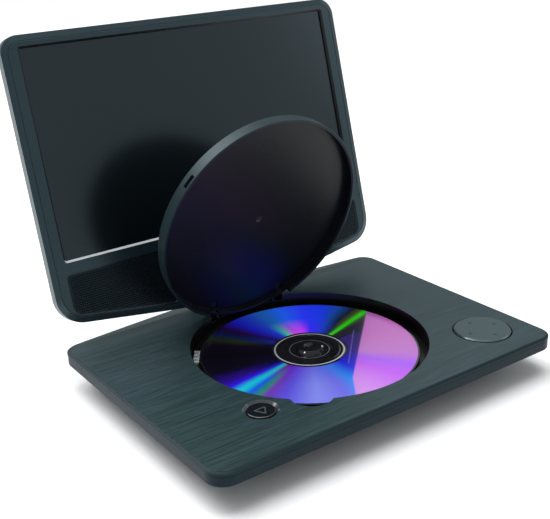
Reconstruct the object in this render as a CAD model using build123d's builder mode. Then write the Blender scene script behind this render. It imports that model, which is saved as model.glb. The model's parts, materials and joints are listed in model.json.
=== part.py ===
from build123d import *
import os
from math import atan, cos, degrees, radians, sin

# Portable DVD player, standing open: a flat base with a disc well in its top, a round lid over
# the well, and a nine-inch screen on a swivel hinge at the back.
# Millimetres. X runs across the player, +Y to the back, +Z up. The origin is on the table, at the
# middle of the open player's outer box.

# ---------------------------------------------------------------- driving dimensions
WIDTH = 218.0                # base and screen, side to side
SIDE_DEPTH = 157.8           # front edge to the back edge, at the sides
MID_DEPTH = 168.8            # the same at the middle, where the back edge is a shallow V
CORNER_R = 10.0
LOW_CORNER_R = 16.0          # screen's two bottom corners
APEX_R = 40.0
SCREEN_SIDE_Y = 5.3          # screen's bottom edge above the hinge axis, at its sides
SCREEN_APEX_Y = -10.5        # the same at its middle, a shallow V
REACH = 202.4                # front edge of the base to the rearmost point of the screen
PLATE_Z = 22.0               # top plate above the table
LEAN = 14.5                  # screen's lean back from upright when open

DISC_DIAMETER = 120.0
DISC_THICKNESS = 1.2
DISC_DEPTH = 5.6             # top of the disc below the top plate
WELL_R = 64.9
WELL_DEPTH = 9.0

WINDOW_W = 198.0             # nine-inch panel's visible area
WINDOW_H = 113.6
TOP_MARGIN = 7.1             # window to the screen's top edge

LID_RIM_R = 63.6
LID_TOP_R = 63.0
LID_DEPTH = 7.4
LID_OPEN = 73.0              # lid's opening angle in the open player

# ---------------------------------------------------------------- places worked out from them
FRONT_Y = -REACH / 2
REAR_SIDE_Y = FRONT_Y + SIDE_DEPTH
REAR_APEX_Y = FRONT_Y + MID_DEPTH
DISC_X = 1.5
DISC_Y = FRONT_Y + 79.8
DISC_TOP_Z = PLATE_Z - DISC_DEPTH
DISC_BOTTOM_Z = DISC_TOP_Z - DISC_THICKNESS
WELL_FLOOR_Z = PLATE_Z - WELL_DEPTH
HINGE_Y = FRONT_Y + 159.1
HINGE_Z = PLATE_Z + 8.4
FACE_W = 7.9                 # hinge axis to the screen's front face
SWEEP_R = 8.1                # round bottom edge of the screen, about the hinge axis
LID_HINGE_Y = DISC_Y + 62.9
LID_HINGE_Z = PLATE_Z - 1.7

NOTCH_TURN = 233.5           # finger notch's direction from the disc's centre
NOTCH_IN = 28.0              # its two ends, from the disc's centre
NOTCH_OUT = 71.5
NOTCH_W = 22.4
HUB_HOLE_R = 16.0
REST_TURN = 145.0            # ribbed lid rest, between the disc and the well's wall
REST_IN = 60.3
REST_OUT = 63.6
REST_LENGTH = 14.0
REST_SINK = 0.5

GAP = 0.3                    # running gap between parts that move past each other
FIT = 0.06                   # radial clearance of a pin in its bore

# A plane on the screen: its origin is on the hinge axis, +Y runs up the screen, +Z to the viewer.
SCREEN = Plane(
    origin=(0, HINGE_Y, HINGE_Z),
    x_dir=(1, 0, 0),
    z_dir=(0, -cos(radians(LEAN)), sin(radians(LEAN))),
)
# A plane on the lid: its origin is on the lid's hinge axis, +Y runs from the front of the closed
# lid to its back, +Z out of its top.
LID = Plane(
    origin=(DISC_X, LID_HINGE_Y, LID_HINGE_Z),
    x_dir=(1, 0, 0),
    z_dir=(0, sin(radians(LID_OPEN)), cos(radians(LID_OPEN))),
)
LID_TOP = PLATE_Z - LID_HINGE_Z
LID_CENTRE = DISC_Y - LID_HINGE_Y
LID_TAPER = degrees(atan((LID_RIM_R - LID_TOP_R) / LID_DEPTH))

os.makedirs("parts", exist_ok=True)


def save(piece, label):
    """Label a finished piece and write it under its own name."""
    piece.part.label = label
    export_step(piece.part, f"parts/{label}.step")


def v_outline(inset, front, side, apex, corner, far_corner):
    """A rounded rectangle with a shallow V along its far side, shrunk by inset."""
    way = 1 if apex > front else -1
    half = WIDTH / 2 - inset
    radii = [corner, corner, far_corner, APEX_R, far_corner]
    points = [
        (-half, front + way * inset),
        (half, front + way * inset),
        (half, side - way * inset),
        (0, apex - way * inset),
        (-half, side - way * inset),
    ]
    with BuildSketch() as sketch:
        with BuildLine():
            FilletPolyline(*points, radius=radii, close=True)
        make_face()
    return sketch.sketch


def case_outline(inset, corner=None):
    """The base's outline seen from above."""
    corner = corner or CORNER_R - inset
    return v_outline(inset, FRONT_Y, REAR_SIDE_Y, REAR_APEX_Y, corner, corner)


def screen_outline(inset, corner=None):
    """The screen's outline in its own plane. Closed, its top edge lies on the base's front edge."""
    low_corner = corner or LOW_CORNER_R - inset
    corner = corner or CORNER_R - inset
    return v_outline(inset, HINGE_Y - FRONT_Y, SCREEN_SIDE_Y, SCREEN_APEX_Y, corner, low_corner)


def ring_outline(outline, inset, width):
    """A narrow band of an outline."""
    with BuildSketch() as sketch:
        add(outline(inset))
        add(outline(inset + width), mode=Mode.SUBTRACT)
    return sketch.sketch


def notch_outline(grow=0.0):
    """The round-ended finger notch at the well's front left edge, about the disc's centre."""
    with BuildSketch() as sketch:
        with Locations(Rotation(0, 0, NOTCH_TURN) * Location(((NOTCH_OUT + NOTCH_IN) / 2, 0))):
            SlotOverall(NOTCH_OUT - NOTCH_IN + 2 * grow, NOTCH_W + 2 * grow)
    return sketch.sketch


def rest_outline(grow=0.0):
    """The lid rest's foot on the well's floor, seen from above about the disc's centre."""
    with BuildSketch() as sketch:
        with Locations(Rotation(0, 0, REST_TURN) * Location(((REST_IN + REST_OUT) / 2, 0))):
            Rectangle(REST_OUT - REST_IN + 2 * grow, REST_LENGTH + 2 * grow)
    return sketch.sketch


def cross_recess():
    """The cross in a screw's head."""
    with BuildSketch() as sketch:
        Rectangle(CROSS_L, CROSS_W)
        Rectangle(CROSS_W, CROSS_L)
    return sketch.sketch


# ---------------------------------------------------------------- controls on the top plate
PLAY_AT = (DISC_X - 63.1, DISC_Y - 44.6)
PLAY_R = 7.1
PLAY_RING_R = 9.1            # outer edge of the dished ring round the play button
PLAY_DISH = 1.2
NAV_AT = (DISC_X + 80.9, DISC_Y - 50.9)
NAV_R = 15.5
NAV_BEVEL = 0.6              # bevels of the navigation pad and of its hole
NAV_RAISE = 0.7
KEY_TRAVEL = 0.8

# ---------------------------------------------------------------- lid hinge
EAR_X = 23.0                 # middle of each lid ear, from the middle of the lid
EAR_W = 4.0
EAR_R = 1.55
LID_PIN_R = 0.6
POCKET_W = EAR_W + 2 * GAP
POCKET_BACK = EAR_R + GAP
POCKET_FRONT = 6.0
POCKET_BOTTOM = LID_HINGE_Z - EAR_R - GAP

LID_PIN_START = 19.8         # pin's two ends, from the middle of the lid
LID_PIN_END = 27.0
RELIEF_HALF = 19.2
RELIEF_BACK = 2.1
RIM_CUT_HALF = 28.0
RIM_CUT = 2.8
SLOT_TURN = 216.5            # latch slot in the lid's wall, about the lid's middle
SLOT_L = 7.6
SLOT_H = 2.7

# ---------------------------------------------------------------- screen hinge
POST_R = 5.0
YOKE_HALF = 22.0
EAR_IN = 16.0
KNUCKLE_R = 6.0
HINGE_PIN_R = 2.0
NOTCH_HALF = YOKE_HALF + 0.8
NOTCH_TOP = 6.8              # top of the screen's bottom notch above the hinge axis

# ---------------------------------------------------------------- case heights
COVER_EDGE_Z = 20.0          # underside of the top cover at its outer edge
COVER_INNER_Z = 19.6         # underside of the top cover inside the band
BAND_TOP_Z = 19.75
BAND_BOTTOM_Z = 15.0
WALL = 2.2
CASE_BOTTOM_Z = 2.0
CASE_FLOOR_Z = 4.2
HULL_INSET = 27.0
HULL_CORNER_R = 14.0
FOLD_Y = FRONT_Y + 156.3
FACET_DROP = 1.5

KEY_BOARD_Z = 15.6
BOARD_TOP_Z = 15.0
CHASSIS_Z = 9.2

# ---------------------------------------------------------------- side sockets and switches
SOCKET_Z = 17.2
WALL_X = WIDTH / 2
HEADPHONE_Y = DISC_Y - 8
AV_Y = DISC_Y + 4
DC_Y = DISC_Y + 44
POWER_Y = DISC_Y + 28
VOLUME_Y = DISC_Y - 22
JACK_R = 1.8
DC_R = 2.1


def ear_pocket_points():
    """Middle of each pocket that a lid ear swings in."""
    middle = LID_HINGE_Y + (POCKET_BACK - POCKET_FRONT) / 2
    return [(DISC_X - EAR_X, middle), (DISC_X + EAR_X, middle)]


CASE_SCREWS = [(-78, -47), (62, -53), (66, 52), (-67.5, 52)]
FOOT_SPACING = (136.0, 92.0)
FOOT_AT = (0, FRONT_Y + 76)
FOOT_R = 5.0
CROSS_L = 2.6                # cross recess in the screws' heads
CROSS_W = 0.6
CROSS_DEPTH = 0.6


def case_screw_points():
    """Where the four screws hold the two halves of the base together."""
    return [(DISC_X + x, DISC_Y + y) for x, y in CASE_SCREWS]


# ================================================================ base, outside

with BuildPart() as base_top_cover:
    with BuildSketch(Plane.XY.offset(COVER_EDGE_Z)):
        add(case_outline(0))
    extrude(amount=PLATE_Z - COVER_EDGE_Z)
    chamfer(base_top_cover.edges().group_by(Axis.Z)[-1], length=0.7, length2=1.1)
    with BuildSketch(Plane.XY.offset(COVER_INNER_Z)):
        add(case_outline(WALL + 0.25))
    extrude(amount=COVER_EDGE_Z - COVER_INNER_Z)
    # sunk line round the plate
    with BuildSketch(Plane.XY.offset(PLATE_Z - 0.3)):
        add(ring_outline(case_outline, 1.3, 0.35))
    extrude(amount=1, mode=Mode.SUBTRACT)
    # facet that falls away to the back
    with BuildSketch(Plane.YZ):
        with BuildLine():
            Polyline(
                (FOLD_Y, PLATE_Z),
                (REAR_APEX_Y, PLATE_Z - FACET_DROP),
                (REAR_APEX_Y, PLATE_Z + 1),
                (FOLD_Y, PLATE_Z + 1),
                close=True,
            )
        make_face()
    extrude(amount=WIDTH / 2, both=True, mode=Mode.SUBTRACT)
    # disc well, with a rebate under its lip for the tray
    with BuildSketch(Plane.XY.offset(COVER_INNER_Z)):
        with Locations((DISC_X, DISC_Y)):
            Circle(WELL_R)
            add(notch_outline())
    extrude(amount=PLATE_Z - COVER_INNER_Z + 1, mode=Mode.SUBTRACT)
    with BuildSketch(Plane.XY.offset(COVER_INNER_Z)):
        with Locations((DISC_X, DISC_Y)):
            Circle(WELL_R + 1.7)
            add(notch_outline(1.7))
    extrude(amount=1.6, mode=Mode.SUBTRACT)
    # pockets for the lid's two ears
    with BuildSketch(Plane.XY.offset(COVER_INNER_Z)):
        with Locations(*ear_pocket_points()):
            Rectangle(POCKET_W, POCKET_FRONT + POCKET_BACK)
    extrude(amount=PLATE_Z - COVER_INNER_Z + 1, mode=Mode.SUBTRACT)
    # relief that the lid's back edge swings into, and the bores of the hinge pins
    with BuildSketch(Plane.XY.offset(COVER_INNER_Z)):
        with Locations((DISC_X, LID_HINGE_Y)):
            Rectangle(2 * RELIEF_HALF, 2 * RELIEF_BACK)
    extrude(amount=PLATE_Z - COVER_INNER_Z + 1, mode=Mode.SUBTRACT)
    with BuildSketch(Plane.YZ.offset(DISC_X)):
        with Locations((LID_HINGE_Y, LID_HINGE_Z)):
            Circle(LID_PIN_R)
    extrude(amount=LID_PIN_END, both=True, mode=Mode.SUBTRACT)
    # posts that take the case screws
    with BuildSketch(Plane.XY.offset(CASE_FLOOR_Z)):
        with Locations(*case_screw_points()):
            Circle(3.0)
    extrude(amount=COVER_INNER_Z - CASE_FLOOR_Z)
    with BuildSketch(Plane.XY.offset(CASE_FLOOR_Z)):
        with Locations(*case_screw_points()):
            Circle(1.3)
    extrude(amount=12, mode=Mode.SUBTRACT)
    # dished ring and hole for the play button, bevelled hole for the navigation pad
    with BuildSketch(Plane.XY.offset(PLATE_Z - PLAY_DISH)):
        with Locations(PLAY_AT):
            Circle(PLAY_RING_R - PLAY_DISH)
    extrude(amount=2, taper=-45, mode=Mode.SUBTRACT)
    with BuildSketch(Plane.XY.offset(PLATE_Z - NAV_BEVEL)):
        with Locations(NAV_AT):
            Circle(NAV_R + GAP)
    extrude(amount=1, taper=-45, mode=Mode.SUBTRACT)
    with BuildSketch(Plane.XY.offset(COVER_INNER_Z)):
        with Locations(PLAY_AT):
            Circle(PLAY_R + GAP)
        with Locations(NAV_AT):
            Circle(NAV_R + GAP)
    extrude(amount=PLATE_Z - COVER_INNER_Z + 1, mode=Mode.SUBTRACT)
    # hole for the swivel post
    with Locations((0, HINGE_Y, PLATE_Z)):
        Hole(POST_R + 1.4)
save(base_top_cover, "base_top_cover")

with BuildPart() as base_bottom_case:
    with BuildSketch(Plane.XY.offset(BAND_BOTTOM_Z)):
        add(case_outline(0.15))
    extrude(amount=BAND_TOP_Z - BAND_BOTTOM_Z)
    with BuildSketch(Plane.XY.offset(BAND_BOTTOM_Z)):
        add(case_outline(0.9))
    with BuildSketch(Plane.XY.offset(CASE_BOTTOM_Z)):
        add(case_outline(HULL_INSET, HULL_CORNER_R))
    loft()
    with BuildSketch(Plane.XY.offset(BAND_BOTTOM_Z)):
        add(case_outline(WALL))
    extrude(amount=BAND_TOP_Z - BAND_BOTTOM_Z, mode=Mode.SUBTRACT)
    with BuildSketch(Plane.XY.offset(BAND_BOTTOM_Z)):
        add(case_outline(WALL + 2.2))
    with BuildSketch(Plane.XY.offset(CASE_FLOOR_Z)):
        add(case_outline(HULL_INSET + 2, HULL_CORNER_R))
    loft(mode=Mode.SUBTRACT)
    # sunk seats for the feet
    with BuildSketch(Plane.XY.offset(CASE_BOTTOM_Z)):
        with Locations(FOOT_AT):
            with GridLocations(*FOOT_SPACING, 2, 2):
                Circle(FOOT_R + 0.2)
    extrude(amount=0.6, mode=Mode.SUBTRACT)
    # cooling slots in the floor
    with BuildSketch(Plane.XY.offset(CASE_BOTTOM_Z)):
        with Locations((DISC_X + 20, DISC_Y + 6)):
            with GridLocations(6, 0, 8, 1):
                SlotOverall(24, 2.2, rotation=90)
    extrude(amount=CASE_FLOOR_Z - CASE_BOTTOM_Z, mode=Mode.SUBTRACT)
    # room for the cover's screw posts, and seats for the screws' heads
    with BuildSketch(Plane.XY.offset(CASE_FLOOR_Z)):
        with Locations(*case_screw_points()):
            Circle(3.2)
    extrude(amount=BAND_TOP_Z - CASE_FLOOR_Z, mode=Mode.SUBTRACT)
    with BuildSketch(Plane.XY.offset(CASE_BOTTOM_Z)):
        with Locations(*case_screw_points()):
            Circle(2.6)
    extrude(amount=CASE_FLOOR_Z - CASE_BOTTOM_Z, mode=Mode.SUBTRACT)
    # openings in the right side for the sockets and switches
    with BuildSketch(Plane.YZ.offset(WALL_X - WALL - 0.5)):
        with Locations((HEADPHONE_Y, SOCKET_Z), (AV_Y, SOCKET_Z)):
            Circle(2.3)
        with Locations((DC_Y, SOCKET_Z)):
            Circle(2.35)
        with Locations((POWER_Y, SOCKET_Z)):
            Rectangle(9.2, 3.0)
        with Locations((VOLUME_Y, SOCKET_Z)):
            Rectangle(13.4, 3.2)
    extrude(amount=WALL + 1, mode=Mode.SUBTRACT)
    # clearance for the swivel post's nut
    with BuildSketch(Plane.XY.offset(13.4)):
        with Locations((0, HINGE_Y)):
            Circle(8.4)
    extrude(amount=BAND_TOP_Z - 13.4, mode=Mode.SUBTRACT)
save(base_bottom_case, "base_bottom_case")

with BuildPart() as disc_well:
    with BuildSketch(Plane.XY.offset(WELL_FLOOR_Z - 1.5)):
        with Locations((DISC_X, DISC_Y)):
            Circle(WELL_R + 1.6)
            add(notch_outline(1.6))
    extrude(amount=PLATE_Z - 0.8 - WELL_FLOOR_Z + 1.5)
    # blocks that carry the lid's hinge pins
    with BuildSketch(Plane.XY.offset(POCKET_BOTTOM - 1.4)):
        with Locations((DISC_X - EAR_X, LID_HINGE_Y), (DISC_X + EAR_X, LID_HINGE_Y)):
            Rectangle(EAR_W + 7, 2 * POCKET_BACK + 2.4)
    extrude(amount=COVER_INNER_Z - POCKET_BOTTOM + 1.4)
    with BuildSketch(Plane.XY.offset(WELL_FLOOR_Z)):
        with Locations((DISC_X, DISC_Y)):
            Circle(WELL_R)
            add(notch_outline())
    extrude(amount=PLATE_Z - WELL_FLOOR_Z, mode=Mode.SUBTRACT)
    # pockets for the lid's ears, the relief between them, and the bores of the hinge pins
    with BuildSketch(Plane.XY.offset(POCKET_BOTTOM)):
        with Locations(*ear_pocket_points()):
            Rectangle(POCKET_W, POCKET_FRONT + POCKET_BACK)
        with Locations((DISC_X, LID_HINGE_Y)):
            Rectangle(2 * RELIEF_HALF, 2 * RELIEF_BACK)
    extrude(amount=PLATE_Z - POCKET_BOTTOM, mode=Mode.SUBTRACT)
    with BuildSketch(Plane.YZ.offset(DISC_X)):
        with Locations((LID_HINGE_Y, LID_HINGE_Z)):
            Circle(LID_PIN_R)
    extrude(amount=LID_PIN_END, both=True, mode=Mode.SUBTRACT)
    # hole for the turntable, slot for the pickup, and a seat for the lid rest
    with BuildSketch(Plane.XY.offset(WELL_FLOOR_Z - 2)):
        with Locations((DISC_X, DISC_Y)):
            Circle(HUB_HOLE_R)
        with Locations((DISC_X + 34, DISC_Y)):
            RectangleRounded(60, 26, 4)
    extrude(amount=3, mode=Mode.SUBTRACT)
    with BuildSketch(Plane.XY.offset(WELL_FLOOR_Z - REST_SINK)):
        with Locations((DISC_X, DISC_Y)):
            add(rest_outline(0.1))
    extrude(amount=REST_SINK, mode=Mode.SUBTRACT)
save(disc_well, "disc_well")

# ================================================================ base, sockets and feet

with BuildPart() as rubber_feet:
    with BuildSketch():
        with Locations(FOOT_AT):
            with GridLocations(*FOOT_SPACING, 2, 2):
                Circle(FOOT_R)
    extrude(amount=CASE_BOTTOM_Z + 0.6)
    chamfer(rubber_feet.edges().group_by(Axis.Z)[0], 0.5)
save(rubber_feet, "rubber_feet")

with BuildPart() as case_screws:
    with BuildSketch(Plane.XY.offset(CASE_BOTTOM_Z + 0.6)):
        with Locations(*case_screw_points()):
            Circle(2.5)
    extrude(amount=CASE_FLOOR_Z - CASE_BOTTOM_Z - 0.6)
    with BuildSketch(Plane.XY.offset(CASE_FLOOR_Z)):
        with Locations(*case_screw_points()):
            Circle(1.3)
    extrude(amount=11.5)
    with BuildSketch(Plane.XY.offset(CASE_BOTTOM_Z + 0.6)):
        with Locations(*case_screw_points()):
            add(cross_recess())
    extrude(amount=CROSS_DEPTH, mode=Mode.SUBTRACT)
save(case_screws, "case_screws")


def jack(y, length, bore_r, height=4.4, width=6.4):
    """A round socket's body on the board, with its bore out of the right side."""
    with BuildPart() as socket:
        with BuildSketch(Plane.YZ.offset(WALL_X - WALL - length)):
            with Locations((y, SOCKET_Z)):
                Rectangle(width, height)
        extrude(amount=length)
        with BuildSketch(Plane.YZ.offset(WALL_X - WALL)):
            with Locations((y, SOCKET_Z)):
                Circle(2.2)
        extrude(amount=WALL)
        with BuildSketch(Plane.YZ.offset(WALL_X - WALL - length + 1)):
            with Locations((y, SOCKET_Z)):
                Circle(bore_r)
        extrude(amount=length + WALL, mode=Mode.SUBTRACT)
    return socket


save(jack(HEADPHONE_Y, 12, JACK_R), "headphone_jack")
save(jack(AV_Y, 12, JACK_R), "av_jack")

with BuildPart() as dc_jack:
    add(jack(DC_Y, 10, DC_R - 0.35).part)
    with BuildSketch(Plane.YZ.offset(WALL_X - WALL - 9)):
        with Locations((DC_Y, SOCKET_Z)):
            Circle(0.6)
    extrude(amount=9)
save(dc_jack, "dc_jack")

with BuildPart() as power_switch:
    with BuildSketch(Plane.YZ.offset(WALL_X - WALL - 2.2)):
        with Locations((POWER_Y - 2, SOCKET_Z)):
            Rectangle(7.6, 3.6)
    extrude(amount=1.8)
    with BuildSketch(Plane.YZ.offset(WALL_X - WALL - 0.4)):
        with Locations((POWER_Y - 2, SOCKET_Z)):
            Rectangle(4.0, 2.2)
    extrude(amount=WALL + 0.2)
save(power_switch, "power_switch")

with BuildPart() as switch_body:
    with BuildSketch(Plane.YZ.offset(WALL_X - WALL - 6.5)):
        with Locations((POWER_Y, SOCKET_Z)):
            Rectangle(13, 4.4)
    extrude(amount=4.0)
save(switch_body, "switch_body")

VOLUME_R = 6.2
VOLUME_X = WALL_X - VOLUME_R
with BuildPart() as volume_wheel:
    with BuildSketch(Plane.XY.offset(SOCKET_Z - 1.1)):
        with Locations((VOLUME_X, VOLUME_Y)):
            Circle(VOLUME_R)
            with PolarLocations(VOLUME_R, 36):
                Circle(0.22, mode=Mode.SUBTRACT)
            Circle(1.5 + FIT, mode=Mode.SUBTRACT)
    extrude(amount=2.2)
save(volume_wheel, "volume_wheel")

with BuildPart() as volume_pot:
    with BuildSketch(Plane.XY.offset(BOARD_TOP_Z)):
        with Locations((VOLUME_X, VOLUME_Y)):
            Circle(3.0)
    extrude(amount=SOCKET_Z - 1.1 - GAP - BOARD_TOP_Z)
    with BuildSketch(Plane.XY.offset(BOARD_TOP_Z)):
        with Locations((VOLUME_X, VOLUME_Y)):
            Circle(1.5)
    extrude(amount=SOCKET_Z + 1.1 - BOARD_TOP_Z)
save(volume_pot, "volume_pot")

# ================================================================ base, electronics

BOARD_AT = (DISC_X + 85.5, DISC_Y + 17)
with BuildPart() as main_board:
    with BuildSketch(Plane.XY.offset(BOARD_TOP_Z - 1.4)):
        with Locations(BOARD_AT):
            Rectangle(28, 92)
    extrude(amount=1.4)
    chips = [(-6, 8, 12, 12), (-6, 28, 9, 9), (-8, -22, 8, 14), (4, -6, 5, 8)]
    with BuildSketch(Plane.XY.offset(BOARD_TOP_Z)):
        for x, y, across, along in chips:
            with Locations((BOARD_AT[0] + x, BOARD_AT[1] + y)):
                Rectangle(across, along)
    extrude(amount=1.4)
save(main_board, "main_board")

with BuildPart() as battery_pack:
    with BuildSketch(Plane.XY.offset(10.8)):
        with Locations((DISC_X - 84.5, DISC_Y + 10)):
            with GridLocations(0, 47, 1, 2):
                RectangleRounded(20, 46, 2)
    extrude(amount=7)
save(battery_pack, "battery_pack")


def key_board(at, across, along):
    """A small board with one key switch on it, under a button."""
    with BuildPart() as board:
        with BuildSketch(Plane.XY.offset(KEY_BOARD_Z)):
            with Locations(at):
                RectangleRounded(across, along, 1.5)
        extrude(amount=1.2)
        with BuildSketch(Plane.XY.offset(KEY_BOARD_Z + 1.2)):
            with Locations(at):
                Circle(2.6)
        extrude(amount=0.8)
    return board


save(key_board(PLAY_AT, 15, 12), "play_key_board")
save(key_board(NAV_AT, 26, 26), "nav_key_board")

with BuildPart() as lid_rest:
    with BuildSketch(Plane.XY.offset(WELL_FLOOR_Z - REST_SINK)):
        with Locations((DISC_X, DISC_Y)):
            add(rest_outline())
    extrude(amount=REST_SINK + 0.2)
    # a bar beside the disc, and four ribs from it to the well's wall
    with BuildSketch(Plane.XY.offset(WELL_FLOOR_Z + 0.2)):
        with Locations(Location((DISC_X, DISC_Y)) * Rotation(0, 0, REST_TURN)):
            with Locations((REST_IN + 0.45, 0)):
                Rectangle(0.9, REST_LENGTH)
            with Locations(((REST_IN + REST_OUT) / 2, 0)):
                with GridLocations(0, 4.1, 1, 4):
                    Rectangle(REST_OUT - REST_IN, 1.7)
    extrude(amount=1.1)
save(lid_rest, "lid_rest")

with BuildPart() as lid_hinge_pins:
    for side in (-1, 1):
        with BuildSketch(Plane.YZ.offset(DISC_X + side * LID_PIN_START)):
            with Locations((LID_HINGE_Y, LID_HINGE_Z)):
                Circle(LID_PIN_R)
        extrude(amount=side * (LID_PIN_END - LID_PIN_START))
save(lid_hinge_pins, "lid_hinge_pins")

# ================================================================ disc drive, under the well

DAMPERS = [(-16, -26), (-16, 26), (74, -26), (74, 26)]
ROD_Y = 17.0
ROD_Z = 7.6
ROD_R = 1.5
ROD_START = DISC_X + 12
ROD_LENGTH = 58.0
SCREW_Y = -22.0
SCREW_R = 1.3
LENS_START = 24.0
SLED_TRAVEL = 34.0


def drive_points():
    """Where the drive's frame hangs on its rubber dampers."""
    return [(DISC_X + x, DISC_Y + y) for x, y in DAMPERS]


with BuildPart() as drive_chassis:
    with BuildSketch(Plane.XY.offset(CHASSIS_Z)):
        with Locations((DISC_X + 29, DISC_Y)):
            RectangleRounded(100, 62, 4)
        with Locations((DISC_X + 41, DISC_Y - 1)):
            RectangleRounded(54, 50, 3, mode=Mode.SUBTRACT)
        with Locations((DISC_X, DISC_Y)):
            Circle(3.0, mode=Mode.SUBTRACT)
        with Locations((DISC_X + 3, DISC_Y + SCREW_Y)):
            Rectangle(20, 9, mode=Mode.SUBTRACT)
        with Locations(*drive_points()):
            Circle(2.8, mode=Mode.SUBTRACT)
    extrude(amount=1.0)
    # turned-down tabs that hold the guide rods
    for x in (ROD_START, ROD_START + ROD_LENGTH - 2):
        with BuildSketch(Plane.YZ.offset(x)):
            with Locations((DISC_Y - ROD_Y, ROD_Z + 0.4), (DISC_Y + ROD_Y, ROD_Z + 0.4)):
                Rectangle(5, 2 * (CHASSIS_Z - ROD_Z - 0.4))
            with Locations((DISC_Y - ROD_Y, ROD_Z), (DISC_Y + ROD_Y, ROD_Z)):
                Circle(ROD_R, mode=Mode.SUBTRACT)
        extrude(amount=2)
save(drive_chassis, "drive_chassis")

with BuildPart() as guide_rods:
    with BuildSketch(Plane.YZ.offset(ROD_START)):
        with Locations((DISC_Y - ROD_Y, ROD_Z), (DISC_Y + ROD_Y, ROD_Z)):
            Circle(ROD_R)
    extrude(amount=ROD_LENGTH)
save(guide_rods, "guide_rods")

with BuildPart() as rubber_dampers:
    with Locations(*[(x, y, CHASSIS_Z - 0.8) for x, y in drive_points()]):
        Cylinder(4.2, 0.8, align=(Align.CENTER, Align.CENTER, Align.MIN))
    with Locations(*[(x, y, CHASSIS_Z) for x, y in drive_points()]):
        Cylinder(2.8, 1.0, align=(Align.CENTER, Align.CENTER, Align.MIN))
    with Locations(*[(x, y, CHASSIS_Z + 1.0) for x, y in drive_points()]):
        Cylinder(4.2, WELL_FLOOR_Z - 2.5 - CHASSIS_Z, align=(Align.CENTER, Align.CENTER, Align.MIN))
    with Locations(*[(x, y, CHASSIS_Z + 2.0) for x, y in drive_points()]):
        Hole(1.2)
save(rubber_dampers, "rubber_dampers")

with BuildPart() as drive_screws:
    with Locations(*[(x, y, CHASSIS_Z - 1.8) for x, y in drive_points()]):
        Cylinder(2.4, 1.0, align=(Align.CENTER, Align.CENTER, Align.MIN))
    with Locations(*[(x, y, CHASSIS_Z - 0.8) for x, y in drive_points()]):
        Cylinder(1.0, WELL_FLOOR_Z - 0.7 - CHASSIS_Z, align=(Align.CENTER, Align.CENTER, Align.MIN))
    with BuildSketch(Plane.XY.offset(CHASSIS_Z - 1.8)):
        with Locations(*drive_points()):
            add(cross_recess())
    extrude(amount=CROSS_DEPTH, mode=Mode.SUBTRACT)
save(drive_screws, "drive_screws")

SHAFT_R = 0.8
with BuildPart() as spindle_motor:
    with BuildSketch(Plane.XY.offset(CHASSIS_Z - 4.4)):
        with Locations((DISC_X, DISC_Y)):
            Circle(10.5)
    extrude(amount=4.4)
    with BuildSketch(Plane.XY.offset(CHASSIS_Z)):
        with Locations((DISC_X, DISC_Y)):
            Circle(2.7)
    extrude(amount=2.2)
    with Locations((DISC_X, DISC_Y, CHASSIS_Z + 2.2)):
        Hole(SHAFT_R + FIT, depth=5.6)
save(spindle_motor, "spindle_motor")

with BuildPart() as turntable_hub:
    # shaft, platform and chuck in one turned piece
    with BuildSketch(Plane.XZ.offset(-DISC_Y)):
        with BuildLine():
            Polyline(
                (DISC_X, CHASSIS_Z - 3.0),
                (DISC_X + SHAFT_R, CHASSIS_Z - 3.0),
                (DISC_X + SHAFT_R, WELL_FLOOR_Z + 0.2),
                (DISC_X + 13.5, WELL_FLOOR_Z + 0.2),
                (DISC_X + 14.0, WELL_FLOOR_Z + 0.7),
                (DISC_X + 14.0, DISC_BOTTOM_Z),
                (DISC_X + 7.4, DISC_BOTTOM_Z),
                (DISC_X + 7.4, DISC_TOP_Z),
                (DISC_X + 6.6, DISC_TOP_Z + 1.9),
                (DISC_X + 3.2, DISC_TOP_Z + 2.2),
                (DISC_X + 2.4, DISC_TOP_Z + 1.2),
                (DISC_X, DISC_TOP_Z + 1.2),
                close=True,
            )
        make_face()
    revolve(axis=Axis((DISC_X, DISC_Y, 0), (0, 0, 1)))
    with Locations((DISC_X, DISC_Y, DISC_TOP_Z + 0.8)):
        with PolarLocations(6.9, 3, 90):
            Sphere(0.95, mode=Mode.SUBTRACT)
save(turntable_hub, "turntable_hub")

with BuildPart() as chuck_balls:
    with Locations((DISC_X, DISC_Y, DISC_TOP_Z + 0.8)):
        with PolarLocations(6.9, 3, 90):
            Sphere(0.9)
save(chuck_balls, "chuck_balls")

with BuildPart() as disc:
    with BuildSketch(Plane.XY.offset(DISC_BOTTOM_Z)):
        with Locations((DISC_X, DISC_Y)):
            Circle(DISC_DIAMETER / 2)
            Circle(7.5, mode=Mode.SUBTRACT)
    extrude(amount=DISC_THICKNESS)
    chamfer(disc.edges().filter_by(GeomType.CIRCLE).sort_by(SortBy.RADIUS)[-2:], 0.2)
save(disc, "disc")

with BuildPart() as pickup_sled:
    with BuildSketch(Plane.XY.offset(ROD_Z - 2.2)):
        with Locations((DISC_X + LENS_START, DISC_Y)):
            RectangleRounded(18, 2 * ROD_Y + 4.6, 2)
    extrude(amount=4.4)
    with BuildSketch(Plane.XY.offset(ROD_Z + 2.2)):
        with Locations((DISC_X + LENS_START, DISC_Y)):
            RectangleRounded(11, 20, 3)
    extrude(amount=WELL_FLOOR_Z - 0.6 - ROD_Z - 2.2)
    # bores on the rods
    with BuildSketch(Plane.YZ.offset(DISC_X + LENS_START - 10)):
        with Locations((DISC_Y - ROD_Y, ROD_Z), (DISC_Y + ROD_Y, ROD_Z)):
            Circle(ROD_R + FIT)
    extrude(amount=20, mode=Mode.SUBTRACT)
save(pickup_sled, "pickup_sled")

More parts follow.
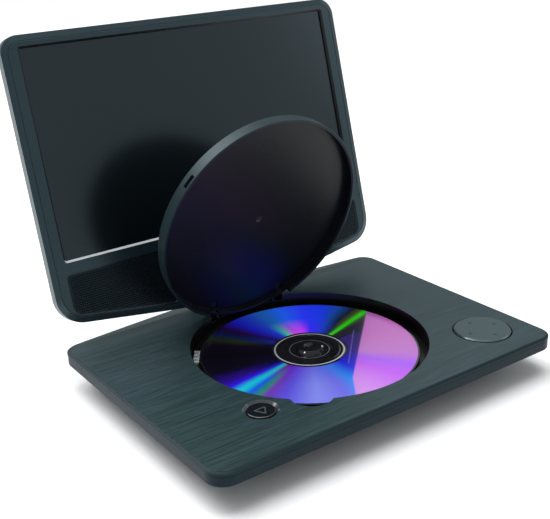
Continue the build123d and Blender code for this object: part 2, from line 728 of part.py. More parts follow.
with BuildPart() as objective_lens:
    with BuildSketch(Plane.XY.offset(WELL_FLOOR_Z - 0.6)):
        with Locations((DISC_X + LENS_START, DISC_Y)):
            Circle(3.2)
    extrude(amount=0.7)
    fillet(objective_lens.edges().group_by(Axis.Z)[-1], 0.5)
save(objective_lens, "objective_lens")

with BuildPart() as lead_screw:
    with BuildSketch(Plane.YZ.offset(DISC_X + 13.3)):
        with Locations((DISC_Y + SCREW_Y, ROD_Z)):
            Circle(SCREW_R)
    extrude(amount=52)
    with BuildSketch(Plane.YZ.offset(DISC_X + 11)):
        with Locations((DISC_Y + SCREW_Y, ROD_Z)):
            Circle(0.75)
    extrude(amount=2.3)
save(lead_screw, "lead_screw")

with BuildPart() as sled_motor:
    with BuildSketch(Plane.YZ.offset(DISC_X - 6)):
        with Locations((DISC_Y + SCREW_Y, ROD_Z)):
            Circle(3.2)
    extrude(amount=17)
    with BuildSketch(Plane.YZ.offset(DISC_X + 10)):
        with Locations((DISC_Y + SCREW_Y, ROD_Z)):
            Circle(0.75 + FIT)
    extrude(amount=2, mode=Mode.SUBTRACT)
save(sled_motor, "sled_motor")

# ================================================================ buttons

with BuildPart() as play_button:
    with BuildSketch(Plane.XY.offset(KEY_BOARD_Z + 2.0 + KEY_TRAVEL + 0.1)):
        with Locations(PLAY_AT):
            Circle(PLAY_R)
    extrude(amount=PLATE_Z - 0.15 - KEY_BOARD_Z - 2.1 - KEY_TRAVEL)
    fillet(play_button.edges().group_by(Axis.Z)[-1], 0.5)
    # shallow dish for the fingertip
    with Locations((*PLAY_AT, PLATE_Z - 0.15 + 39.55)):
        Sphere(40, mode=Mode.SUBTRACT)
save(play_button, "play_button")

with BuildPart() as nav_pad:
    with BuildSketch(Plane.XY.offset(KEY_BOARD_Z + 2.0 + KEY_TRAVEL + 0.1)):
        with Locations(NAV_AT):
            Circle(NAV_R)
    extrude(amount=PLATE_Z + NAV_RAISE - KEY_BOARD_Z - 2.1 - KEY_TRAVEL)
    chamfer(nav_pad.edges().group_by(Axis.Z)[-1], NAV_BEVEL)
save(nav_pad, "nav_pad")

# ================================================================ lid

with BuildPart() as disc_lid:
    with BuildSketch(LID.offset(LID_TOP - LID_DEPTH)):
        with Locations((0, LID_CENTRE)):
            Circle(LID_RIM_R)
    extrude(amount=LID_DEPTH, taper=LID_TAPER)
    fillet(disc_lid.faces().sort_by(Axis(LID.origin, LID.z_dir))[-1].edges(), 0.5)
    with BuildSketch(LID.offset(LID_TOP - LID_DEPTH)):
        with Locations((0, LID_CENTRE)):
            Circle(LID_RIM_R - 1.2)
    extrude(amount=LID_DEPTH - 1.4, taper=LID_TAPER, mode=Mode.SUBTRACT)
    # rim cut short between the hinges, to swing clear of the disc
    with BuildSketch(LID.offset(LID_TOP - LID_DEPTH)):
        with Locations((0, -8)):
            Rectangle(2 * RIM_CUT_HALF, 20)
    extrude(amount=RIM_CUT, mode=Mode.SUBTRACT)
    # latch slot in the wall
    with BuildSketch(LID.offset(LID_TOP - LID_DEPTH + 0.9)):
        with Locations(Location((0, LID_CENTRE)) * Rotation(0, 0, SLOT_TURN) * Location((LID_RIM_R, 0))):
            Rectangle(5, SLOT_L)
    extrude(amount=SLOT_H, mode=Mode.SUBTRACT)
    # ears that turn on the hinge pins
    for side in (-1, 1):
        ear_plane = Plane(
            origin=LID.from_local_coords((side * EAR_X, 0, 0)), x_dir=LID.y_dir, z_dir=LID.x_dir
        )
        with BuildSketch(ear_plane.offset(-EAR_W / 2)):
            Circle(EAR_R)
            with Locations((-3.5, 0)):
                Rectangle(7, 2 * EAR_R)
            Circle(LID_PIN_R + FIT, mode=Mode.SUBTRACT)
        extrude(amount=EAR_W)
save(disc_lid, "disc_lid")

with BuildPart() as lid_liner:
    with BuildSketch(LID.offset(LID_TOP - LID_DEPTH + 0.5)):
        with Locations((0, LID_CENTRE)):
            Circle(LID_RIM_R - 1.26)
    extrude(amount=LID_DEPTH - 1.92, taper=LID_TAPER)
    with BuildSketch(LID.offset(LID_TOP - LID_DEPTH)):
        with Locations((0, LID_CENTRE)):
            Circle(LID_RIM_R - 1.9)
    extrude(amount=LID_DEPTH - 2.2, taper=LID_TAPER, mode=Mode.SUBTRACT)
    with BuildSketch(LID.offset(LID_TOP - LID_DEPTH)):
        with Locations((0, -8)):
            Rectangle(2 * RIM_CUT_HALF, 20)
    extrude(amount=RIM_CUT, mode=Mode.SUBTRACT)
    # room for the ears
    for side in (-1, 1):
        with BuildSketch(LID.offset(LID_TOP - LID_DEPTH)):
            with Locations((side * EAR_X, -5)):
                Rectangle(EAR_W + 0.2, 12)
        extrude(amount=LID_DEPTH, mode=Mode.SUBTRACT)
save(lid_liner, "lid_liner")

# ================================================================ swivel and screen hinge

with BuildPart() as swivel_bush:
    with BuildSketch(Plane.XY.offset(COVER_INNER_Z - 3.6)):
        with Locations((0, HINGE_Y)):
            Circle(8.0)
            Circle(POST_R + FIT, mode=Mode.SUBTRACT)
    extrude(amount=3.6)
    with BuildSketch(Plane.XY.offset(COVER_INNER_Z)):
        with Locations((0, HINGE_Y)):
            Circle(POST_R + 1.35)
            Circle(POST_R + FIT, mode=Mode.SUBTRACT)
    extrude(amount=PLATE_Z - FACET_DROP - COVER_INNER_Z)
save(swivel_bush, "swivel_bush")

with BuildPart() as swivel_yoke:
    # foot bar just above the plate
    with BuildSketch(Plane.XY.offset(PLATE_Z + GAP)):
        with Locations((0, HINGE_Y)):
            RectangleRounded(2 * YOKE_HALF, 12, 5.9)
    extrude(amount=1.8)
    # hollow post through the bush
    with BuildSketch(Plane.XY.offset(COVER_INNER_Z - 4.6)):
        with Locations((0, HINGE_Y)):
            Circle(POST_R)
    extrude(amount=PLATE_Z + GAP - COVER_INNER_Z + 4.6)
    for side in (-1, 1):
        inner = side * (EAR_IN + YOKE_HALF) / 2
        with BuildSketch(Plane.YZ.offset(inner - (YOKE_HALF - EAR_IN) / 2)):
            with Locations((HINGE_Y, HINGE_Z)):
                Circle(KNUCKLE_R)
            with Locations((HINGE_Y, (HINGE_Z + PLATE_Z + GAP) / 2)):
                Rectangle(10, HINGE_Z - PLATE_Z - GAP)
        extrude(amount=YOKE_HALF - EAR_IN)
    with BuildSketch(Plane.YZ):
        with Locations((HINGE_Y, HINGE_Z)):
            Circle(HINGE_PIN_R)
    extrude(amount=YOKE_HALF - 1.5, both=True, mode=Mode.SUBTRACT)
    with Locations((0, HINGE_Y, PLATE_Z + GAP + 1.8)):
        Hole(2.6)
save(swivel_yoke, "swivel_yoke")

with BuildPart() as swivel_nut:
    with BuildSketch(Plane.XY.offset(COVER_INNER_Z - 4.6 - 1.2)):
        with Locations((0, HINGE_Y)):
            Circle(7.6)
            Circle(2.6, mode=Mode.SUBTRACT)
    extrude(amount=1.2)
save(swivel_nut, "swivel_nut")

with BuildPart() as hinge_pin:
    with BuildSketch(Plane.YZ):
        with Locations((HINGE_Y, HINGE_Z)):
            Circle(HINGE_PIN_R)
    extrude(amount=YOKE_HALF - 1.5, both=True)
save(hinge_pin, "hinge_pin")

with BuildPart() as hinge_barrel:
    with BuildSketch(Plane.YZ):
        with Locations((HINGE_Y, HINGE_Z)):
            Circle(KNUCKLE_R)
    extrude(amount=EAR_IN - GAP, both=True)
    # neck that runs up into the screen
    with BuildSketch(SCREEN.offset(-3.0)):
        with Locations((0, 7.5)):
            Rectangle(24, 15)
    extrude(amount=6.0)
    with BuildSketch(Plane.YZ):
        with Locations((HINGE_Y, HINGE_Z)):
            Circle(HINGE_PIN_R + FIT)
    extrude(amount=YOKE_HALF, both=True, mode=Mode.SUBTRACT)
save(hinge_barrel, "hinge_barrel")

with BuildPart() as hinge_bracket:
    with BuildSketch(SCREEN.offset(-4.2)):
        with Locations((0, 20)):
            RectangleRounded(64, 16, 2)
        with Locations((0, 12)):
            Rectangle(22, 6)
        with Locations((0, 20)):
            with GridLocations(50, 8, 2, 2):
                Circle(1.3, mode=Mode.SUBTRACT)
    extrude(amount=1.2)
save(hinge_bracket, "hinge_bracket")

# ================================================================ screen

SIDE = Plane(origin=SCREEN.origin, x_dir=SCREEN.y_dir, z_dir=SCREEN.x_dir)
BAND_BACK = FACE_W - 6.5     # back of the bezel's side wall
SKIN = 2.0
BEVEL_DROP = 0.9
BEVEL_IN = 3.2
BACK_Z = -6.2                # back of the screen
BACK_INSET = 10.0
BACK_CORNER_R = 16.0
SCREEN_TOP = HINGE_Y - FRONT_Y
WINDOW_Y = SCREEN_TOP - TOP_MARGIN - WINDOW_H / 2
SCREW_POINTS = [(side * 103.6, y) for side in (-1, 1) for y in (24, 84, 148)]


def cavity_outline(inset, corner=None):
    """Inside of the screen's shell: solid along the bottom edge and round the hinge notch."""
    with BuildSketch() as sketch:
        add(screen_outline(inset, corner))
        with Locations((0, -17)):
            Rectangle(WIDTH, 40, mode=Mode.SUBTRACT)
        with Locations((0, 0)):
            Rectangle(2 * NOTCH_HALF + 4.4, 2 * NOTCH_TOP + 4.4, mode=Mode.SUBTRACT)
    return sketch.sketch


def grille_outline(side, shrink=0.0):
    """One speaker grille: square at the top, following the screen's V along the bottom."""
    points = [(38, 31.2), (100.6, 31.2), (100.6, 8.7), (38, -0.4)]
    with BuildSketch() as sketch:
        with BuildLine():
            FilletPolyline(*[(side * x, y) for x, y in points], radius=[2, 3, 6, 2], close=True)
        make_face()
        if shrink:
            offset(amount=-shrink, mode=Mode.REPLACE)
    return sketch.sketch


def trim_to_hinge():
    """Round the bottom edge about the hinge axis and cut the notch that the yoke stands in."""
    with BuildSketch(SIDE) as edge:
        with Locations((-10, 0)):
            Rectangle(20, 40)
        Circle(SWEEP_R, mode=Mode.SUBTRACT)
    with BuildSketch(SCREEN.offset(-20)) as notch:
        with Locations((0, NOTCH_TOP - 15)):
            Rectangle(2 * NOTCH_HALF, 30)
    with BuildSketch(SCREEN.offset(-3.2)) as neck:
        with Locations((0, NOTCH_TOP + 2)):
            Rectangle(24.4, 6)
    return (
        extrude(edge.sketch, amount=WIDTH / 2 + 1, both=True)
        + extrude(notch.sketch, amount=40)
        + extrude(neck.sketch, amount=6.4)
    )


with BuildPart() as screen_bezel:
    with BuildSketch(SCREEN.offset(BAND_BACK)):
        add(screen_outline(0))
    extrude(amount=FACE_W - BEVEL_DROP - BAND_BACK)
    # broad bevel round the face
    with BuildSketch(SCREEN.offset(FACE_W - BEVEL_DROP)):
        add(screen_outline(0))
    with BuildSketch(SCREEN.offset(FACE_W)):
        add(screen_outline(BEVEL_IN))
    loft()
    with BuildSketch(SCREEN.offset(BAND_BACK)):
        add(cavity_outline(WALL))
    extrude(amount=FACE_W - BAND_BACK - SKIN, mode=Mode.SUBTRACT)
    # screw bosses
    with BuildSketch(SCREEN.offset(BAND_BACK)):
        with Locations(*SCREW_POINTS):
            Circle(2.7)
    extrude(amount=FACE_W - BAND_BACK - 1)
    # window with a sloping ledge, and the seat of the panel behind it
    with BuildSketch(SCREEN.offset(BAND_BACK)):
        with Locations((0, WINDOW_Y)):
            RectangleRounded(WINDOW_W, WINDOW_H, 0.8)
    extrude(amount=FACE_W, mode=Mode.SUBTRACT)
    with BuildSketch(SCREEN.offset(FACE_W - 1.2)):
        with Locations((0, WINDOW_Y)):
            RectangleRounded(WINDOW_W, WINDOW_H, 0.8)
    extrude(amount=1.3, taper=-40, mode=Mode.SUBTRACT)
    with BuildSketch(SCREEN.offset(BAND_BACK)):
        with Locations((0, WINDOW_Y)):
            Rectangle(WINDOW_W + 3.4, WINDOW_H + 3.4)
    extrude(amount=FACE_W - BAND_BACK - SKIN, mode=Mode.SUBTRACT)
    # sunk line round the face
    with BuildSketch(SCREEN.offset(FACE_W - 0.3)):
        add(ring_outline(screen_outline, BEVEL_IN, 0.4))
    extrude(amount=1, mode=Mode.SUBTRACT)
    # seats and openings of the two speaker grilles
    for side in (-1, 1):
        with BuildSketch(SCREEN.offset(FACE_W - 1.3)):
            add(grille_outline(side))
        extrude(amount=2, mode=Mode.SUBTRACT)
        with BuildSketch(SCREEN.offset(FACE_W - 3)):
            add(grille_outline(side, 2.2))
        extrude(amount=3, mode=Mode.SUBTRACT)
    add(trim_to_hinge(), mode=Mode.SUBTRACT)
    with BuildSketch(SCREEN.offset(BAND_BACK)):
        with Locations(*SCREW_POINTS):
            Circle(1.2)
    extrude(amount=4.6, mode=Mode.SUBTRACT)
save(screen_bezel, "screen_bezel")

with BuildPart() as screen_back_cover:
    with BuildSketch(SCREEN.offset(BACK_Z)):
        add(screen_outline(BACK_INSET, BACK_CORNER_R))
    with BuildSketch(SCREEN.offset(BAND_BACK - 0.2)):
        add(screen_outline(0.3))
    loft()
    # stepped cavity inside the sloping back
    for inset, depth in ((12.0, BACK_Z + SKIN), (7.5, -2.4), (5.0, -0.6)):
        with BuildSketch(SCREEN.offset(depth)):
            add(cavity_outline(inset, 4.0))
        extrude(amount=BAND_BACK - 0.2 - depth, mode=Mode.SUBTRACT)
    with BuildSketch(SCREEN.offset(-1.5)):
        with Locations(*SCREW_POINTS):
            Circle(2.7)
    extrude(amount=BAND_BACK - 0.2 + 1.5)
    with BuildSketch(SCREEN.offset(-1.5)):
        with Locations(*SCREW_POINTS):
            Circle(2.3)
    extrude(amount=-8, mode=Mode.SUBTRACT)
    with BuildSketch(SCREEN.offset(-2)):
        with Locations(*SCREW_POINTS):
            Circle(1.2)
    extrude(amount=8, mode=Mode.SUBTRACT)
    add(trim_to_hinge(), mode=Mode.SUBTRACT)
save(screen_back_cover, "screen_back_cover")

with BuildPart() as screen_screws:
    with BuildSketch(SCREEN.offset(-1.5)):
        with Locations(*SCREW_POINTS):
            Circle(2.2)
    extrude(amount=-1.1)
    with BuildSketch(SCREEN.offset(-1.5)):
        with Locations(*SCREW_POINTS):
            Circle(1.2)
    extrude(amount=BAND_BACK + 4 + 1.5)
    with BuildSketch(SCREEN.offset(-1.5 - 1.1)):
        with Locations(*SCREW_POINTS):
            add(cross_recess())
    extrude(amount=CROSS_DEPTH, mode=Mode.SUBTRACT)
save(screen_screws, "screen_screws")

with BuildPart() as lcd_panel:
    with BuildSketch(SCREEN.offset(FACE_W - SKIN - 1.1)):
        with Locations((0, WINDOW_Y)):
            Rectangle(WINDOW_W + 3, WINDOW_H + 3)
    extrude(amount=1.1)
save(lcd_panel, "lcd_panel")

with BuildPart() as lcd_backlight:
    with BuildSketch(SCREEN.offset(FACE_W - SKIN - 1.1 - 3.4)):
        with Locations((0, WINDOW_Y)):
            Rectangle(WINDOW_W + 3, WINDOW_H + 3)
    extrude(amount=3.4)
save(lcd_backlight, "lcd_backlight")

with BuildPart() as display_board:
    with BuildSketch(SCREEN.offset(-1.8)):
        with Locations((0, 62)):
            Rectangle(110, 34)
    extrude(amount=1.2)
    with BuildSketch(SCREEN.offset(-0.6)):
        with Locations((-30, 64), (6, 62), (34, 66)):
            Rectangle(12, 12)
    extrude(amount=1.2)
save(display_board, "display_board")

for name, side in (("left", -1), ("right", 1)):
    with BuildPart() as speaker_grille:
        with BuildSketch(SCREEN.offset(FACE_W - 1.3)):
            add(grille_outline(side, 0.1))
        extrude(amount=1.1)
    save(speaker_grille, f"speaker_grille_{name}")

    with BuildPart() as speaker:
        with BuildSketch(SCREEN.offset(FACE_W - SKIN - 5.2)):
            with Locations((side * 72, 18.5)):
                RectangleRounded(42, 17, 8.4)
        extrude(amount=5.2)
        with BuildSketch(SCREEN.offset(FACE_W - SKIN - 7.4)):
            with Locations((side * 72, 18.5)):
                Circle(6.5)
        extrude(amount=2.2)
    save(speaker, f"speaker_{name}")
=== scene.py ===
import json
import math

import bmesh
import bpy
from mathutils import Matrix, Vector


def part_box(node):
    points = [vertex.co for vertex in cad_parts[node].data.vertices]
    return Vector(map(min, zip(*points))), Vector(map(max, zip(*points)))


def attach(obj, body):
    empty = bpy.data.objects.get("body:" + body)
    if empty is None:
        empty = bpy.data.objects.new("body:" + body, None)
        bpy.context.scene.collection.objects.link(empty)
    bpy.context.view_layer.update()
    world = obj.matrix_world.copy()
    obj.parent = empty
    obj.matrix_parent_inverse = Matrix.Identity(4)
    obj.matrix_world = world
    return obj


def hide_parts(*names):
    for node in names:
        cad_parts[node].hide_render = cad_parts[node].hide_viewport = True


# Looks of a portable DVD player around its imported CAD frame. Metres, in the frame's own axes:
# +X to the right of the player, +Y to its back, +Z up, the origin on the table.

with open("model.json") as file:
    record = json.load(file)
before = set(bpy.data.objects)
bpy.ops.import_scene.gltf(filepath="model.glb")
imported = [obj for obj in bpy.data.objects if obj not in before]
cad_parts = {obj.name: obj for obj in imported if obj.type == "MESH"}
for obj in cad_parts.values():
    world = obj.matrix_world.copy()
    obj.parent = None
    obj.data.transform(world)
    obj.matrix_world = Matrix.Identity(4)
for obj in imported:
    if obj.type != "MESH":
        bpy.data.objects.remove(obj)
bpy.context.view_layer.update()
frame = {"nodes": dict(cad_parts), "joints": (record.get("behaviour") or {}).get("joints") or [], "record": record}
NODES = frame["nodes"]
JOINTS = {joint["name"]: joint for joint in frame["joints"]}
MM = 0.001


# ---------------------------------------------------------------- places, read from the frame
def middle(node):
    """Middle of a CAD node's box."""
    low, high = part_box(node)
    return (low + high) / 2


def face_axes(node, toward):
    """Axes (x, y, z) of a node's largest flat face that looks toward a direction: z out of it, x level."""
    areas = {}
    for face in NODES[node].data.polygons:
        key = tuple(round(c, 3) for c in face.normal)
        areas[key] = areas.get(key, 0) + face.area
    facing = [key for key in areas if Vector(key).dot(toward) > 0.5]
    z = Vector(max(facing, key=areas.get)).normalized()
    x = Vector((1, 0, 0))
    return x, z.cross(x).normalized(), z


def plane_matrix(origin, axes):
    """Matrix from a plane's own coordinates to the frame."""
    x, y, z = axes
    return Matrix.Translation(origin) @ Matrix((x, y, z)).transposed().to_4x4()


def front_of(node, axes):
    """Furthest a node reaches along the z axis of some axes."""
    return max(vertex.co.dot(axes[2]) for vertex in NODES[node].data.vertices)


DISC = middle("disc")
DISC_LOW, DISC_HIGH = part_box("disc")
HINGE = Vector(JOINTS["screen_tilt"]["pos_m"])
LID_HINGE = Vector(JOINTS["lid_hinge"]["pos_m"])
SCREEN_AXES = face_axes("lcd_panel", Vector((0, -1, 0)))
LID_AXES = face_axes("lid_liner", Vector((0, -1, 0)))
SCREEN = plane_matrix(HINGE, SCREEN_AXES)
LCD = middle("lcd_panel")
LCD_FRONT = front_of("lcd_panel", SCREEN_AXES)
WINDOW = plane_matrix(LCD + SCREEN_AXES[2] * (LCD_FRONT - LCD.dot(SCREEN_AXES[2])), SCREEN_AXES)
LCD_CORNERS = [vertex.co - WINDOW.translation for vertex in NODES["lcd_panel"].data.vertices]
LCD_HALF_W = max(corner.x for corner in LCD_CORNERS)
LCD_HALF_H = max(corner.dot(SCREEN_AXES[1]) for corner in LCD_CORNERS)


# ---------------------------------------------------------------- materials
def srgb(red, green, blue):
    """A colour given as it shows on a screen, 0 to 255, in the linear values that nodes take."""
    def linear(c):
        c /= 255
        return c / 12.92 if c <= 0.04045 else ((c + 0.055) / 1.055) ** 2.4
    return (linear(red), linear(green), linear(blue), 1.0)


def shade(colour, factor):
    """A colour made darker or lighter."""
    return (*[c * factor for c in colour[:3]], 1.0)


def tinted(colour, factors):
    """A colour with its red, green and blue scaled apart."""
    return (*[c * factor for c, factor in zip(colour[:3], factors)], 1.0)


class Finish:
    """A material being built: short calls for the nodes that these finishes use."""

    def __init__(self, name, **fixed):
        self.material = bpy.data.materials.new(name)
        self.material.use_nodes = True
        self.tree = self.material.node_tree
        self.shader = self.tree.nodes["Principled BSDF"]
        for socket, value in fixed.items():
            self.shader.inputs[socket.replace("_", " ")].default_value = value
        self.object = self.tree.nodes.new("ShaderNodeTexCoord").outputs["Object"]

    def node(self, kind, sockets, **settings):
        """A node with its settings, whose inputs are given as values or as other nodes' outputs."""
        made = self.tree.nodes.new(kind)
        for setting, value in settings.items():
            setattr(made, setting, value)
        for socket, value in sockets.items():
            if isinstance(value, bpy.types.NodeSocket):
                self.tree.links.new(value, made.inputs[socket])
            else:
                made.inputs[socket].default_value = value
        return made

    def vector_math(self, operation, a, b):
        """The outputs of a vector operation."""
        return self.node("ShaderNodeVectorMath", {0: a, 1: b}, operation=operation).outputs

    def place(self, scales):
        """Object coordinates, scaled along each axis."""
        return self.vector_math("MULTIPLY", self.object, scales)[0]

    def along(self, origin, axis):
        """Distance from an origin along an axis."""
        moved = self.vector_math("SUBTRACT", self.object, tuple(origin))[0]
        return self.vector_math("DOT_PRODUCT", moved, tuple(axis))["Value"]

    def noise(self, scale, detail=2.0, roughness=0.5, vector=None):
        """Noise, stretched by giving three scales."""
        scales = scale if isinstance(scale, tuple) else (scale,) * 3
        vector = vector or self.place(scales)
        sockets = {"Vector": vector, "Scale": 1.0, "Detail": detail, "Roughness": roughness}
        return self.node("ShaderNodeTexNoise", sockets).outputs["Fac"]

    def math(self, operation, a, b=0.0):
        """The result of an operation on numbers."""
        return self.node("ShaderNodeMath", {0: a, 1: b}, operation=operation).outputs[0]

    def spread(self, value, low, high, start=0.0, end=1.0):
        """A value stretched from low..high to start..end, and held at its ends."""
        sockets = {"Value": value, "From Min": low, "From Max": high, "To Min": start, "To Max": end}
        return self.node("ShaderNodeMapRange", sockets, clamp=True).outputs["Result"]

    def mix(self, factor, a, b, blend="MIX"):
        """Two colours mixed, or multiplied, by a factor."""
        made = self.node("ShaderNodeMix", {0: factor}, data_type="RGBA", blend_type=blend)
        for socket, value in ((made.inputs[6], a), (made.inputs[7], b)):
            if isinstance(value, bpy.types.NodeSocket):
                self.tree.links.new(value, socket)
            else:
                socket.default_value = value
        return made.outputs[2]

    def ramp(self, factor, stops):
        """A colour that goes through the colours of stops, each given as (position, colour)."""
        made = self.node("ShaderNodeValToRGB", {"Fac": factor})
        while len(made.color_ramp.elements) < len(stops):
            made.color_ramp.elements.new(0.5)
        for element, (position, colour) in zip(made.color_ramp.elements, stops):
            element.position = position
            element.color = colour
        return made.outputs["Color"]

    def soft_edges(self, radius):
        """Normals rounded over sharp edges, and a mask that is 1 on those edges."""
        rounded = self.node("ShaderNodeBevel", {"Radius": radius}, samples=4).outputs["Normal"]
        flat = self.tree.nodes.new("ShaderNodeNewGeometry").outputs["Normal"]
        agreement = self.vector_math("DOT_PRODUCT", rounded, flat)["Value"]
        return rounded, self.spread(agreement, 0.995, 0.85)

    def bump(self, height, distance, strength, normal=None):
        """Normals of a relief, distance metres deep, laid over other normals."""
        sockets = {"Height": height, "Distance": distance, "Strength": strength}
        if normal is not None:
            sockets["Normal"] = normal
        return self.node("ShaderNodeBump", sockets).outputs["Normal"]

    def done(self, colour, roughness, normal=None):
        """The material, with its colour, roughness and normals joined to the shader."""
        for socket, value in (("Base Color", colour), ("Roughness", roughness), ("Normal", normal)):
            if isinstance(value, bpy.types.NodeSocket):
                self.tree.links.new(value, self.shader.inputs[socket])
            elif value is not None:
                self.shader.inputs[socket].default_value = value
        return self.material


EDGE_R = 0.00025             # radius that sharp edges look rounded to
EDGE_WEAR_AND_HIGHLIGHT = 0.5              # share of the lighter colour on those edges, partly wear and partly painted highlight


def brushed(name, colour, roughness, streak, edge=EDGE_R, **fixed):
    """Painted plastic with fine brush lines along X, a slow drift of colour and lighter edges, partly rubbed wear
    and partly painted highlight.
    """
    f = Finish(name, **fixed)
    long_lines = f.noise((38, 1350, 1350), 3.0, 0.65)
    fine_lines = f.noise((80, 3600, 3600), 2.0, 0.5)
    lines = f.math("ADD", f.math("MULTIPLY", long_lines, 0.7), f.math("MULTIPLY", fine_lines, 0.3))
    cast = f.spread(f.noise(26, 1.0), 0.35, 0.65)
    base = f.mix(cast, tinted(colour, (0.97, 1.02, 0.96)), tinted(colour, (0.99, 0.99, 1.06)))
    light = f.spread(lines, 0.36, 0.64, 1 - streak, 1 + streak)
    base = f.mix(1.0, base, light, "MULTIPLY")
    rounded, edges = f.soft_edges(edge)
    # Edges lightened all round: partly wear, partly a painted highlight.
    base = f.mix(f.math("MULTIPLY", edges, EDGE_WEAR_AND_HIGHLIGHT), base, shade(colour, 2.4))
    rough = f.spread(lines, 0.3, 0.7, roughness - 0.05, roughness + 0.07)
    return f.done(base, rough, f.bump(lines, 0.00004, 0.6, rounded))


def moulded(name, colour, roughness, grain=3200.0, depth=0.00002, edge=EDGE_R, wear_and_highlight=2.2, **fixed):
    """Moulded plastic with a fine spark-eroded grain, slow colour drift and lighter edges, partly rubbed wear and
    partly painted highlight.
    """
    f = Finish(name, **fixed)
    drift = f.spread(f.noise(35, 3.0), 0.3, 0.7)
    speck = f.noise(grain, 2.0, 0.6)
    base = f.mix(drift, shade(colour, 0.88), shade(colour, 1.12))
    base = f.mix(f.spread(speck, 0.35, 0.65, 0, 0.35), base, shade(colour, 0.7))
    rounded, edges = f.soft_edges(edge)
    # Edges lightened all round: partly wear, partly a painted highlight.
    base = f.mix(f.math("MULTIPLY", edges, EDGE_WEAR_AND_HIGHLIGHT), base, shade(colour, wear_and_highlight))
    rough = f.spread(speck, 0.3, 0.7, roughness - 0.05, roughness + 0.06)
    return f.done(base, rough, f.bump(speck, depth, 0.6, rounded))


def metal(name, colour, roughness):
    """Turned or drawn metal with fine tool lines and dull patches."""
    f = Finish(name, Metallic=1.0)
    tool = f.noise((4000, 4000, 400), 3.0, 0.6)
    dull = f.spread(f.noise(260, 3.0), 0.4, 0.7)
    base = f.mix(dull, colour, shade(colour, 0.72))
    rounded, _ = f.soft_edges(0.0001)
    rough = f.spread(tool, 0.3, 0.7, roughness * 0.7, roughness * 1.4)
    return f.done(base, rough, f.bump(tool, 0.000008, 0.5, rounded))


def board_finish():
    """Green circuit board: lacquered traces with pads among them."""
    f = Finish("board", Coat_Weight=0.4)
    traces = f.node("ShaderNodeTexBrick", {
        "Vector": f.place((260, 260, 260)), "Scale": 1.0, "Mortar Size": 0.03,
        "Color1": srgb(20, 78, 44), "Color2": srgb(28, 98, 56), "Mortar": srgb(52, 128, 74),
    }).outputs["Color"]
    cells = {"Vector": f.place((420, 420, 420)), "Scale": 1.0}
    pads = f.node("ShaderNodeTexVoronoi", cells).outputs["Distance"]
    base = f.mix(f.spread(pads, 0.22, 0.16), traces, srgb(190, 186, 170))
    return f.done(base, f.spread(pads, 0.1, 0.3, 0.3, 0.45), f.bump(pads, 0.00004, 0.4))


def screen_finish():
    """Liquid crystal panel under a faintly grained film: a nearly black active area in a black border."""
    f = Finish("screen_glass", IOR=1.72, Specular_Tint=(0.68, 0.90, 1.0, 1.0))
    x = f.along(WINDOW.translation, SCREEN_AXES[0])
    y = f.along(WINDOW.translation, SCREEN_AXES[1])
    edge = 0.25 * MM
    active = 1.0
    for distance, half, way, border in (
        (x, LCD_HALF_W, 1, 4.4), (x, LCD_HALF_W, -1, 2.9), (y, LCD_HALF_H, 1, 4.4), (y, LCD_HALF_H, -1, 2.6),
    ):
        end = half - border * MM
        reach = f.math("MULTIPLY", distance, way)
        active = f.math("MULTIPLY", active, f.spread(reach, end, end - edge))
    drift = f.spread(f.noise(9, 1.0), 0.3, 0.7)
    lit = f.mix(drift, srgb(2, 3, 5), srgb(4, 6, 8))
    glare = f.noise(5200, 2.0, 0.7)
    base = f.mix(active, srgb(3, 4, 5), lit)
    return f.done(base, f.spread(glare, 0.3, 0.7, 0.17, 0.24), f.bump(glare, 0.000004, 0.35))


DEG = 1 / 360                # a degree, where a full turn is 1

# Diffraction light and reflections painted round the disc: degrees from +X, and the colour there.
OUTER_PAINTED_DIFFRACTION = (
    (0, (34, 16, 70)), (11, (40, 26, 60)), (15, (52, 74, 14)), (18.5, (30, 235, 12)), (22, (66, 84, 18)),
    (27, (12, 18, 46)), (35, (16, 66, 150)), (44, (24, 56, 236)), (57, (38, 56, 255)), (72, (32, 98, 250)),
    (84, (26, 96, 176)), (92, (30, 70, 190)), (104, (34, 34, 232)), (113, (58, 14, 96)), (119, (22, 40, 130)),
    (127, (58, 76, 40)), (134, (26, 8, 40)), (150, (6, 2, 14)), (172, (10, 4, 30)), (183, (46, 14, 150)),
    (189, (54, 26, 255)), (195, (20, 226, 232)), (200, (30, 90, 250)), (205, (36, 150, 120)),
    (210, (122, 60, 190)), (220, (98, 88, 240)), (236, (142, 152, 255)), (252, (124, 120, 250)),
    (264, (44, 150, 255)), (276, (34, 56, 246)), (302, (60, 40, 160)), (345, (36, 20, 84)),
)
INNER_PAINTED_DIFFRACTION = (
    (0, (30, 12, 60)), (14, (40, 50, 16)), (18, (60, 250, 20)), (24, (26, 40, 60)), (36, (26, 52, 200)),
    (52, (60, 40, 250)), (64, (210, 60, 250)), (76, (190, 70, 220)), (86, (60, 186, 140)),
    (94, (34, 60, 220)), (110, (40, 16, 130)), (118, (30, 60, 190)), (128, (24, 10, 50)), (150, (6, 2, 14)),
    (184, (14, 8, 60)), (191, (40, 40, 240)), (195, (24, 220, 214)), (201, (120, 40, 160)),
    (212, (110, 50, 232)), (236, (120, 120, 255)), (262, (60, 130, 255)), (280, (40, 40, 240)),
    (320, (60, 34, 140)),
)
# Colours of the painted reflection, a pale violet part of the disc: degrees from +X, and the colour there.
PAINTED_REFLECTION_COLOURS = (
    (0, (212, 112, 208)), (240, (222, 168, 240)), (268, (214, 140, 240)), (290, (200, 92, 248)),
    (303, (176, 92, 252)), (316, (200, 122, 214)), (338, (208, 120, 206)), (360, (212, 112, 208)),
)


